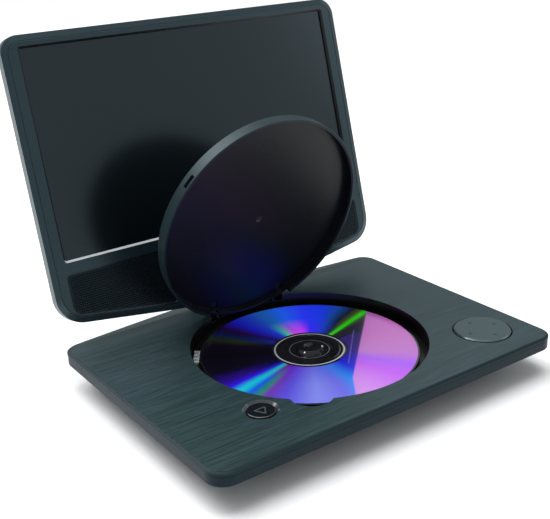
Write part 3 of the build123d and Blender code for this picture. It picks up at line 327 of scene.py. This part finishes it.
def disc_finish():
    """Recorded side of a disc: dark violet with radial streaks of painted diffraction light and painted
    reflections, a pale violet part beyond a bent edge and a thin pale line beside it, both painted reflections,
    and a painted glow over the blue sector. It is laid out about the disc's own centre and turns with the disc."""
    f = Finish("disc_data", Metallic=0.35, Coat_Weight=0.6, Coat_Roughness=0.06, Anisotropic=0.6)
    x = f.along(DISC, (1, 0, 0))
    y = f.along(DISC, (0, 1, 0))
    radius = f.math("SQRT", f.math("ADD", f.math("MULTIPLY", x, x), f.math("MULTIPLY", y, y)))
    turn = f.math("DIVIDE", f.math("ARCTAN2", y, x), 2 * math.pi)
    turn = f.math("ADD", turn, f.math("MULTIPLY", f.math("SUBTRACT", f.noise(34, 1.0), 0.5), 0.012))
    turn = f.math("FRACT", f.math("ADD", turn, 1.0))

    def around(stops):
        return f.ramp(turn, [(degrees * DEG, srgb(*colour)) for degrees, colour in stops])

    outer = around(OUTER_PAINTED_DIFFRACTION)
    inner = around(INNER_PAINTED_DIFFRACTION)
    # Painted diffraction light: inner and outer streak colours blended by radius.
    painted_diffraction = f.mix(f.spread(radius, 22 * MM, 40 * MM), inner, outer)

    # The pale part, a painted reflection, lies beyond two straight edges that meet at a bend.
    bend = DISC + Vector((-2.5, -39.6, 0)) * MM
    first = f.along(bend, (0.698, -0.716, 0))
    second = f.along(bend, (0.817, -0.576, 0))
    in_painted_reflection = f.spread(f.math("MINIMUM", first, second), -0.1 * MM, 0.5 * MM)
    painted_reflection = around(PAINTED_REFLECTION_COLOURS)

    # Fine rings round the disc's centre, and a painted glow, by emission, over the blue sector.
    outward = f.node("ShaderNodeCombineXYZ", {"X": f.math("MULTIPLY", radius, 2600)}).outputs[0]
    rings = f.noise(1, 3.0, 0.6, outward)
    off_blue = f.math("ABSOLUTE", f.math("SUBTRACT", turn, 62 * DEG))
    painted_glow_mask = f.math("MULTIPLY", f.spread(off_blue, 52 * DEG, 26 * DEG), f.spread(in_painted_reflection, 1.0, 0.0))
    painted_glow_mask = f.math("MULTIPLY", painted_glow_mask, f.spread(radius, 19.6 * MM, 21 * MM))
    painted_glow = f.mix(painted_glow_mask, (0, 0, 0, 1), painted_diffraction)
    # Painted glow: the blue streaks are fed into the shader's emission.
    f.tree.links.new(painted_glow, f.shader.inputs["Emission Color"])
    f.shader.inputs["Emission Strength"].default_value = 0.6
    # Painted reflection laid over the streaks beyond the bent edge.
    base = f.mix(in_painted_reflection, painted_diffraction, painted_reflection)

    # A thin pale line beside the pale part, also a painted reflection.
    across = f.math("ABSOLUTE", f.along(DISC + Vector((33.9, 2.7, 0)) * MM, (0.720, -0.694, 0)))
    length = f.math("ABSOLUTE", f.along(DISC + Vector((19.6, -12.2, 0)) * MM, (0.694, 0.720, 0)))
    painted_reflected_line = f.math("MULTIPLY", f.spread(across, 0.5 * MM, 0.25 * MM), f.spread(length, 20.7 * MM, 20 * MM))
    base = f.mix(f.math("MULTIPLY", painted_reflected_line, 0.32), base, srgb(150, 150, 210))
    dimmed = f.mix(1.0, base, (0.55, 0.55, 0.62, 1), "MULTIPLY")
    base = f.mix(f.spread(rings, 0.35, 0.65, 0.0, 0.18), base, dimmed)
    rough = f.spread(rings, 0.3, 0.7, 0.16, 0.26)
    return f.done(base, rough, f.bump(rings, 0.000003, 0.4))


def clear_finish():
    """Unmetallised middle of the disc, dark because the hub and the well show through it."""
    f = Finish("disc_clear", IOR=1.58, Coat_Weight=0.5)
    speck = f.noise(700, 3.0)
    base = f.mix(f.spread(speck, 0.4, 0.6), srgb(16, 16, 19), srgb(24, 24, 28))
    return f.done(base, f.spread(speck, 0.3, 0.7, 0.08, 0.16), f.bump(speck, 0.000004, 0.3))


# The cast of the plastics' gloss.
TEAL = (0.62, 0.90, 1.0, 1.0)
PALE_TEAL = (0.82, 0.96, 1.0, 1.0)

# Grain, depth of the grain and edge radius of small, smooth parts.
FINE = (4200.0, 0.000004, 0.00005)
FINEST = (5200.0, 0.000003, 0.00005)

FINISHES = {
    "plate": brushed(
        "plate", srgb(36, 53, 56), 0.38, 0.42, Metallic=0.2, Anisotropic=0.4, Specular_Tint=PALE_TEAL),
    "case": moulded(
        "case", srgb(17, 31, 37), 0.42, wear_and_highlight=2.4, IOR=1.4, Specular_IOR_Level=0.25, Specular_Tint=TEAL),
    "well_black": moulded("well_black", srgb(9, 9, 11), 0.30, 4200.0),
    "lid_shell": brushed(
        "lid_shell", srgb(30, 44, 48), 0.36, 0.12, Metallic=0.2, IOR=1.35, Specular_Tint=PALE_TEAL),
    "lid_inner": moulded("lid_inner", srgb(8, 11, 17), 0.36, 5200.0, 0.000008, wear_and_highlight=1.6, IOR=1.36),
    "bezel": moulded(
        "bezel", srgb(17, 30, 35), 0.30, 3800.0, 0.000012, wear_and_highlight=2.6, IOR=1.72, Specular_Tint=TEAL),
    "screen_glass": screen_finish(),
    "grille": moulded(
        "grille", srgb(9, 15, 20), 0.36, 4200.0, 0.00001, 0.0001, IOR=1.4, Specular_Tint=TEAL),
    "disc_face": disc_finish(),
    "hub": moulded("hub", srgb(20, 21, 24), 0.20, 3000.0, 0.000008, 0.0002, Coat_Weight=0.3),
    "steel": metal("steel", srgb(176, 176, 178), 0.30),
    "chrome": metal("chrome", srgb(224, 224, 226), 0.12),
    "rubber": moulded("rubber", srgb(24, 24, 24), 0.82, 2200.0, 0.00004, wear_and_highlight=1.5),
    "board": board_finish(),
    "cell": moulded("cell", srgb(62, 96, 138), 0.28, 900.0, 0.00001),
    "button": moulded("button", srgb(14, 18, 22), 0.16, 3600.0, 0.000006, 0.0003, 5.0, Coat_Weight=0.5),
    "pad": brushed("pad", srgb(52, 69, 72), 0.34, 0.08, 0.0003, Metallic=0.2),
    "light_plastic": moulded("light_plastic", srgb(196, 206, 206), 0.36, 2600.0),
    "lens": moulded("lens", srgb(70, 52, 120), 0.08, 900.0, 0.000002, Coat_Weight=1.0),
}
CLEAR = clear_finish()
SILVER = moulded("disc_ring", srgb(206, 212, 216), 0.22, *FINEST, Metallic=0.4)
FAINT = moulded("disc_inner_ring", srgb(96, 104, 112), 0.2, *FINEST, Metallic=0.3)
DISH = moulded("button_dish", srgb(48, 58, 62), 0.16, 3600.0, 0.000004, 0.0001, Coat_Weight=0.6)
# Painted highlight: the nav pad's bevel gets a much lighter, metallic finish.
PAD_RIM_HIGHLIGHT = moulded("pad_rim_painted_highlight", srgb(96, 112, 116), 0.22, 4200.0, 0.000004, 0.0001, Metallic=0.7)
# Painted shade and painted highlight: the window's sloping ledge, one plastic, is black where it faces down or
# sideways and pale where it faces up.
PAINTED_SHADE_LEDGE = moulded("ledge_painted_shade", srgb(4, 5, 6), 0.4, *FINE)
PAINTED_HIGHLIGHT_LEDGE = moulded("sill_painted_highlight", srgb(176, 182, 184), 0.3, *FINE)
MARK = moulded("mark_ink", srgb(16, 17, 19), 0.3, *FINE)
BLACK = FINISHES["well_black"]

subparts = frame["record"]["subparts"]
slots = {part["node"]: part["material_slot"] for part in subparts if "material_slot" in part}
for name, node in NODES.items():
    slot = slots.get(name) or node.data.materials[0].name.split(".")[0]
    node.data.materials.clear()
    node.data.materials.append(FINISHES[slot])
    for face in node.data.polygons:
        face.material_index = 0


def coat(node, finish, wanted):
    """Give a node's faces that pass a test, wanted(middle, normal), a finish of their own."""
    data = NODES[node].data
    data.materials.append(finish)
    for face in data.polygons:
        if wanted(face.center, face.normal):
            face.material_index = len(data.materials) - 1


def flat_distance(point, centre):
    """Distance between two points seen from above."""
    return math.hypot(point.x - centre.x, point.y - centre.y)


PLATE_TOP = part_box("base_top_cover")[1].z
FACE_TOP = front_of("screen_bezel", SCREEN_AXES)
GROOVE = 0.3 * MM            # depth of the sunk line round the plate and round the bezel
PLAY = middle("play_button")
PLAY_RING_R = 9.3 * MM       # radius that holds the play button's hole and its dish
NAV = middle("nav_pad")
NAV_HOLE_R = 16.8 * MM       # radius that holds the pad's hole and its bevel
LIP_R = 72.1 * MM            # radius that holds the disc well's hole
HINGE_END = 9.0 * MM         # reach of the lid's hinge arms from the hinge line
LEVEL = 0.99                 # a face with more than this of its normal upward is level
RIM_LEVEL = 0.97             # the same, for the base's outer bevel
WALL = 0.3                   # a face with less than this of its normal upward is a wall
LIP_WALL = 0.5               # the same, round the disc well's hole
GROOVE_WALL = 0.1            # the same, in a sunk line
FACING = 0.98                # a face with more than this of its normal out of the screen faces forward


def on_window(point):
    """True inside the bezel's window, its sloping ledge included."""
    offset = point - WINDOW.translation
    return abs(offset.x) < LCD_HALF_W and abs(offset.dot(SCREEN_AXES[1])) < LCD_HALF_H


def in_groove(depth, upward):
    """True on the bottom and walls of a sunk line, from a face's depth and the upward part of its normal."""
    slack = 0.02 * MM
    bottom = abs(depth - GROOVE) < slack and upward > LEVEL
    wall = slack < depth < GROOVE - slack and abs(upward) < GROOVE_WALL
    return bottom or wall


def in_bezel_groove(point, normal):
    """True in the sunk line round the screen's face."""
    out = SCREEN_AXES[2]
    return in_groove(FACE_TOP - point.dot(out), normal.dot(out))


def leans(normal):
    """True on faces that don't look straight out of the screen."""
    return normal.dot(SCREEN_AXES[2]) < FACING


coat("base_top_cover", FINISHES["case"], lambda p, n: flat_distance(p, DISC) > LIP_R and n.z < RIM_LEVEL)
# Painted shade: the sunk line round the plate is painted black.
coat("base_top_cover", BLACK, lambda p, n: in_groove(PLATE_TOP - p.z, n.z))
# Painted shade: the sunk line round the bezel is painted black.
coat("screen_bezel", BLACK, in_bezel_groove)
coat("base_top_cover", DISH, lambda p, n: flat_distance(p, PLAY) < PLAY_RING_R and WALL < n.z < LEVEL)
# Painted shade: the walls of the play button's hole are painted black, darkening the gap round the button.
coat("base_top_cover", BLACK, lambda p, n: flat_distance(p, PLAY) < PLAY_RING_R and n.z <= WALL)
# Painted shade: the pad's hole and its bevel are painted black, a dark ring round the pad.
coat("base_top_cover", BLACK, lambda p, n: flat_distance(p, NAV) < NAV_HOLE_R and n.z < LEVEL)
coat("base_top_cover", BLACK, lambda p, n: flat_distance(p, DISC) < LIP_R and n.z < LIP_WALL)
# Painted highlight on the nav pad's bevel.
coat("nav_pad", PAD_RIM_HIGHLIGHT, lambda p, n: WALL < n.z < LEVEL)
# Painted shade on the ledge faces that look down or sideways, painted highlight on those that look up.
coat("screen_bezel", PAINTED_SHADE_LEDGE, lambda p, n: on_window(p) and leans(n) and n.z < WALL)
coat("screen_bezel", PAINTED_HIGHLIGHT_LEDGE, lambda p, n: on_window(p) and leans(n) and n.z >= WALL)
coat("disc_lid", BLACK, lambda p, n: (p - LID_HINGE).yz.length < HINGE_END)


# ---------------------------------------------------------------- building pieces
SMOOTH = 30                  # degrees between faces, under which their edge is shaded smooth
WELD = 0.001 * MM            # corners this close are one corner


def piece(name, mesh, finishes, body, smooth_angle=None):
    """Put a finished bmesh into the scene as a piece that rides on a body."""
    data = bpy.data.meshes.new(name)
    bmesh.ops.recalc_face_normals(mesh, faces=mesh.faces[:])
    mesh.to_mesh(data)
    mesh.free()
    for finish in finishes:
        data.materials.append(finish)
    made = bpy.data.objects.new(name, data)
    bpy.context.scene.collection.objects.link(made)
    if smooth_angle is not None:
        data.shade_smooth()
        data.set_sharp_from_angle(angle=math.radians(smooth_angle))
    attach(made, body)
    return made


def lathe(mesh, profile, matrix, segments):
    """Turn a closed profile of (radius, height, material index) about an axis. The index is that of the
    band that starts at the point."""
    rings = []
    for radius, height, _ in profile:
        ring = []
        for step in range(segments):
            turn = 2 * math.pi * step / segments
            at = Vector((radius * math.cos(turn), radius * math.sin(turn), height)) * MM
            ring.append(mesh.verts.new(matrix @ at))
        rings.append(ring)
    for band, (_, _, index) in enumerate(profile):
        here, there = rings[band], rings[(band + 1) % len(rings)]
        for step in range(segments):
            after = (step + 1) % segments
            face = mesh.faces.new((here[step], here[after], there[after], there[step]))
            face.material_index = index
    return mesh


def prism(mesh, points, low, high, matrix):
    """A straight-sided block on a polygon, from height low to high, in millimetres."""
    bottom = [mesh.verts.new(matrix @ (Vector((x, y, low)) * MM)) for x, y in points]
    top = [mesh.verts.new(matrix @ (Vector((x, y, high)) * MM)) for x, y in points]
    mesh.faces.new(top)
    mesh.faces.new(bottom[::-1])
    for i in range(len(points)):
        j = (i + 1) % len(points)
        mesh.faces.new((bottom[i], bottom[j], top[j], top[i]))
    return mesh


# ---------------------------------------------------------------- disc
def build_disc():
    """A pressed disc: clear clamping area with its stacking ring, silver ring, mirror band, data and rim."""
    thick = (DISC_HIGH.z - DISC_LOW.z) / MM
    data, clear, silver, faint = 0, 1, 2, 3
    profile = [
        (7.5, thick - 0.12, clear), (7.62, thick, clear), (10.6, thick, faint), (10.75, thick + 0.03, faint),
        (11.0, thick + 0.03, faint), (11.15, thick, clear), (15.6, thick, clear), (15.8, thick + 0.06, clear),
        (16.6, thick + 0.06, clear), (16.8, thick, clear), (18.5, thick, silver),
        (18.65, thick + 0.05, silver), (19.2, thick + 0.05, silver), (19.4, thick, clear),
        (20.9, thick, data), (58.9, thick, clear), (59.85, thick, clear), (60.0, thick - 0.15, clear),
        (60.0, 0.15, clear), (59.85, 0, clear), (7.62, 0, clear), (7.5, 0.12, clear),
    ]
    mesh = lathe(bmesh.new(), profile, Matrix.Translation((DISC.x, DISC.y, DISC_LOW.z)), 256)
    layers = [FINISHES["disc_face"], CLEAR, SILVER, FAINT]
    made = piece("disc_layers", mesh, layers, "spindle", SMOOTH)
    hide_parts("disc")


# ---------------------------------------------------------------- speaker grilles
HOLE_PITCH = 1.28
HOLE_SIZE = 0.74
HOLE_MARGIN = 0.35           # least room between a hole's cell and the grille's outline
FIRST_ROW = 0.55             # the first row of cells starts this far from the grille's upper edge
GRILLE_WELD = 0.002 * MM


def hull_of(points):
    """Convex outline of points in a plane, counter-clockwise."""
    points = sorted(set((round(x, 3), round(y, 3)) for x, y in points))

    def half(walk):
        chain = []
        for p in walk:
            while len(chain) > 1:
                (ax, ay), (bx, by) = chain[-2], chain[-1]
                if (bx - ax) * (p[1] - ay) - (by - ay) * (p[0] - ax) > 1e-6:
                    break
                chain.pop()
            chain.append(p)
        return chain[:-1]

    return half(points) + half(points[::-1])


def clipped(polygon, outline):
    """The part of a convex polygon that lies in a convex outline."""
    for (ax, ay), (bx, by) in zip(outline, outline[1:] + outline[:1]):
        def side(p):
            return (bx - ax) * (p[1] - ay) - (by - ay) * (p[0] - ax)
        kept = []
        for p, q in zip(polygon, polygon[1:] + polygon[:1]):
            sp, sq = side(p), side(q)
            if sp >= 0:
                kept.append(p)
            if (sp >= 0) != (sq >= 0):
                t = sp / (sp - sq)
                kept.append((p[0] + t * (q[0] - p[0]), p[1] + t * (q[1] - p[1])))
        polygon = kept
        if len(polygon) < 3:
            return []
    return polygon


def inside(point, outline, margin):
    """True if a point is in a convex outline, by at least a margin."""
    for (ax, ay), (bx, by) in zip(outline, outline[1:] + outline[:1]):
        length = math.hypot(bx - ax, by - ay)
        if ((bx - ax) * (point[1] - ay) - (by - ay) * (point[0] - ax)) / length < margin:
            return False
    return True


def rectangle(x0, y0, x1, y1):
    """Corners of a rectangle, counter-clockwise from its low corner."""
    return [(x0, y0), (x1, y0), (x1, y1), (x0, y1)]


def build_grille(side):
    """A speaker grille with a square grid of square holes right through it."""
    node = f"speaker_grille_{side}"
    back_to_plane = SCREEN.inverted()
    local = [back_to_plane @ vertex.co / MM for vertex in NODES[node].data.vertices]
    top, low = max(p.z for p in local), min(p.z for p in local)
    outline = hull_of([(p.x, p.y) for p in local if p.z > top - 0.01])
    xs, ys = [p[0] for p in outline], [p[1] for p in outline]
    mesh = bmesh.new()

    def flat(points):
        return mesh.faces.new([mesh.verts.new(SCREEN @ (Vector((x, y, top)) * MM)) for x, y in points])

    half = HOLE_SIZE / 2
    columns = math.ceil((max(xs) - min(xs)) / HOLE_PITCH)
    rows = math.ceil((max(ys) - min(ys)) / HOLE_PITCH)
    start_x = (max(xs) + min(xs) - columns * HOLE_PITCH) / 2
    start_y = max(ys) - FIRST_ROW - rows * HOLE_PITCH
    for column in range(columns):
        for row in range(-1, rows + 1):
            x0, y0 = start_x + column * HOLE_PITCH, start_y + row * HOLE_PITCH
            x1, y1 = x0 + HOLE_PITCH, y0 + HOLE_PITCH
            cell = rectangle(x0, y0, x1, y1)
            cx, cy = (x0 + x1) / 2, (y0 + y1) / 2
            if all(inside(p, outline, HOLE_MARGIN) for p in cell):
                hole = rectangle(cx - half, cy - half, cx + half, cy + half)
                for i in range(4):
                    j = (i + 1) % 4
                    flat([cell[i], cell[j], hole[j], hole[i]])
            else:
                shape = clipped(cell, outline)
                if len(shape) > 2:
                    flat(shape)
    bmesh.ops.remove_doubles(mesh, verts=mesh.verts[:], dist=GRILLE_WELD)
    bmesh.ops.dissolve_degenerate(mesh, edges=mesh.edges[:], dist=GRILLE_WELD)
    grown = bmesh.ops.extrude_face_region(mesh, geom=mesh.faces[:])
    moved = [v for v in grown["geom"] if isinstance(v, bmesh.types.BMVert)]
    bmesh.ops.translate(mesh, verts=moved, vec=-SCREEN_AXES[2] * (top - low) * MM)
    made = piece(f"grille_mesh_{side}", mesh, [FINISHES["grille"]], "screen")
    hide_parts(node)


# ---------------------------------------------------------------- marks and small fittings
def key_plane(node):
    """Plane on top of a round key, in its middle."""
    centre = middle(node)
    return Matrix.Translation((centre.x, centre.y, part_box(node)[1].z))


def rounded_triangle(points, radius):
    """Corners of a triangle, rounded."""
    steps = 4
    made = []
    count = len(points)
    for i, corner in enumerate(points):
        c = Vector(corner)
        before, after = Vector(points[i - 1]), Vector(points[(i + 1) % count])
        a = c + (before - c).normalized() * radius
        b = c + (after - c).normalized() * radius
        for step in range(steps + 1):
            t = step / steps
            made.append(tuple(a * (1 - t) ** 2 + c * 2 * t * (1 - t) + b * t ** 2))
    return made


def build_play_mark():
    """Raised outline of a triangle in the play button's dish."""
    outer = rounded_triangle([(-3.3, 2.0), (0.3, -4.0), (4.1, 2.4)], 0.5)
    centre = Vector((0.35, 0.15))
    inner_share = 0.66
    inner = [tuple(centre + (Vector(p) - centre) * inner_share) for p in outer]
    mesh = bmesh.new()
    plane = key_plane("play_button")
    low, high = -0.5, -0.26
    for i in range(len(outer)):
        j = (i + 1) % len(outer)
        prism(mesh, [outer[i], outer[j], inner[j], inner[i]], low, high, plane)
    bmesh.ops.remove_doubles(mesh, verts=mesh.verts[:], dist=WELD)
    piece("play_mark", mesh, [FINISHES["pad"]], "play_button")


def build_nav_marks():
    """Four small arrowheads near the edge of the navigation pad."""
    for name, turn in (("right", 0), ("back", 90), ("left", 180), ("front", 270)):
        plane = key_plane("nav_pad") @ Matrix.Rotation(math.radians(turn), 4, "Z")
        points = rounded_triangle([(10.6, 0), (8.7, 1.25), (8.7, -1.25)], 0.3)
        mesh = prism(bmesh.new(), points, -0.02, 0.04, plane)
        piece(f"nav_mark_{name}", mesh, [MARK], "nav_pad")


def build_lid_marks():
    """Moulding gate in the middle of the lid's lining and ejector rings round it."""
    areas = {}
    for face in NODES["lid_liner"].data.polygons:
        if face.normal.dot(LID_AXES[2]) > 0.999:
            level = round(face.center.dot(LID_AXES[2]), 5)
            areas[level] = areas.get(level, 0) + face.area
    level = max(areas, key=areas.get)
    hinge_level = LID_HINGE.dot(LID_AXES[2])
    away = LID_AXES[1] if LID_AXES[1].z > 0 else -LID_AXES[1]
    on_face = LID_HINGE + LID_AXES[2] * (level - hinge_level)
    centre = on_face + away * (LID_HINGE.y - DISC.y)
    gate = [
        (0.0001, 0, 0), (0.0001, 0.22, 0), (0.5, 0.22, 0), (0.7, 0.05, 0), (1.5, 0.05, 0), (1.8, 0.12, 0),
        (2.1, 0.0, 0),
    ]
    mesh = lathe(bmesh.new(), gate, plane_matrix(centre, LID_AXES), 48)
    bmesh.ops.remove_doubles(mesh, verts=mesh.verts[:], dist=WELD)
    piece("lid_gate_mark", mesh, [BLACK], "lid", SMOOTH)
    pin = [(4.6, 0, 0), (4.65, 0.06, 0), (4.95, 0.06, 0), (5.0, 0, 0)]
    for name, x, y in (("top", 0, 46), ("left", -40, -6), ("right", 40, -6)):
        at = centre + (away * y + Vector((x, 0, 0))) * MM
        mesh = lathe(bmesh.new(), pin, plane_matrix(at, LID_AXES), 64)
        piece(f"lid_ejector_{name}", mesh, [FINISHES["lid_inner"]], "lid", SMOOTH)


LATCH_TURN = 216.5           # latch slot's direction from the lid's middle, with the lid shut


def build_latch_shade():
    """A black block on the lid's lining behind the latch slot: painted shade standing in for a pocket there."""
    from_top = (LID_AXES[0], -LID_AXES[1], -LID_AXES[2])
    centre = plane_matrix(LID_HINGE, from_top) @ Matrix.Translation((0, DISC.y - LID_HINGE.y, 0))
    plane = centre @ Matrix.Rotation(math.radians(LATCH_TURN), 4, "Z")
    corners = rectangle(61.3, -4.4, 61.75, 4.4)
    mesh = prism(bmesh.new(), corners, -5.2, -1.4, plane)
    piece("lid_latch_painted_shade", mesh, [BLACK], "lid")


def build_socket_rings():
    """Plated sleeves in the mouths of the round sockets."""
    for node in ("headphone_jack", "av_jack"):
        low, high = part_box(node)
        centre = Vector((high.x, (low.y + high.y) / 2, middle("dc_jack").z))
        turned = Matrix.Translation(centre) @ Matrix.Rotation(math.radians(-90), 4, "Y")
        ring = [(1.8, 0.3, 0), (1.8, 3.0, 0), (1.7, 3.0, 0), (1.7, 0.3, 0)]
        mesh = lathe(bmesh.new(), ring, turned, 48)
        piece(f"{node}_sleeve", mesh, [FINISHES["chrome"]], "base", SMOOTH)


build_disc()
for side in ("left", "right"):
    build_grille(side)
build_play_mark()
build_nav_marks()
build_lid_marks()
build_latch_shade()
build_socket_rings()

# ---------------------------------------------------------------- floor, light and camera
FLOOR_HALF = 4.0
FLOOR_ROUGHNESS = 0.9
floor_mesh = bmesh.new()
bmesh.ops.create_grid(floor_mesh, x_segments=1, y_segments=1, size=FLOOR_HALF)
floor_data = bpy.data.meshes.new("floor")
floor_mesh.to_mesh(floor_data)
floor_mesh.free()
floor = bpy.data.objects.new("floor", floor_data)
bpy.context.scene.collection.objects.link(floor)
paper = Finish("floor_paper")
paper_tone = paper.mix(paper.noise(60, 2.0), srgb(236, 236, 236), srgb(240, 240, 240))
floor_data.materials.append(paper.done(paper_tone, FLOOR_ROUGHNESS))

world = bpy.data.worlds.new("studio")
bpy.context.scene.world = world
world.use_nodes = True
background = world.node_tree.nodes["Background"]
background.inputs["Color"].default_value = (0.94, 0.97, 1.0, 1.0)
background.inputs["Strength"].default_value = 0.50

TARGET = Vector((0, 0, 0.05))


def aimed_from(at):
    """Turn of a light that looks at the player from a place."""
    return (TARGET - Vector(at)).to_track_quat("-Z", "Y").to_euler()


def softbox(name, at, size, power):
    """A rectangular area light that looks at the player."""
    light = bpy.data.lights.new(name, "AREA")
    light.shape = "RECTANGLE"
    light.size, light.size_y = size
    light.energy = power
    made = bpy.data.objects.new(name, light)
    made.location = at
    made.rotation_euler = aimed_from(at)
    bpy.context.scene.collection.objects.link(made)


softbox("key_back", (-0.7, 1.3, 1.4), (1.4, 1.0), 20)
softbox("overhead", (0.1, 0.1, 1.7), (1.5, 1.1), 18)
softbox("fill_right", (1.5, -0.9, 0.8), (1.0, 0.8), 2)

sun_data = bpy.data.lights.new("broad_sun", "SUN")
sun_data.energy = 1.5
sun_data.angle = math.radians(50)
sun = bpy.data.objects.new("broad_sun", sun_data)
sun.rotation_euler = aimed_from((-0.15, 0.3, 1.0))
bpy.context.scene.collection.objects.link(sun)

# Camera: its place, turn and lens, for the photograph's viewing angle.
EYE = Vector((-280.33, -395.89, 252.48)) * MM
YAW, PITCH, ROLL = (math.radians(a) for a in (34.89, 21.31, -2.17))
forward = Vector((math.sin(YAW) * math.cos(PITCH), math.cos(YAW) * math.cos(PITCH), -math.sin(PITCH)))
sideways = Vector((math.cos(YAW), -math.sin(YAW), 0))
upward = sideways.cross(forward)
right = math.cos(ROLL) * sideways + math.sin(ROLL) * upward
upright = math.cos(ROLL) * upward - math.sin(ROLL) * sideways
camera_data = bpy.data.cameras.new("camera")
camera_data.sensor_width = 36.0
camera_data.lens = 62.4
camera = bpy.data.objects.new("camera", camera_data)
camera.matrix_world = Matrix.Translation(EYE) @ Matrix((right, upright, -forward)).transposed().to_4x4()
bpy.context.scene.collection.objects.link(camera)
bpy.context.scene.camera = camera
bpy.context.scene.view_settings.view_transform = "Standard"
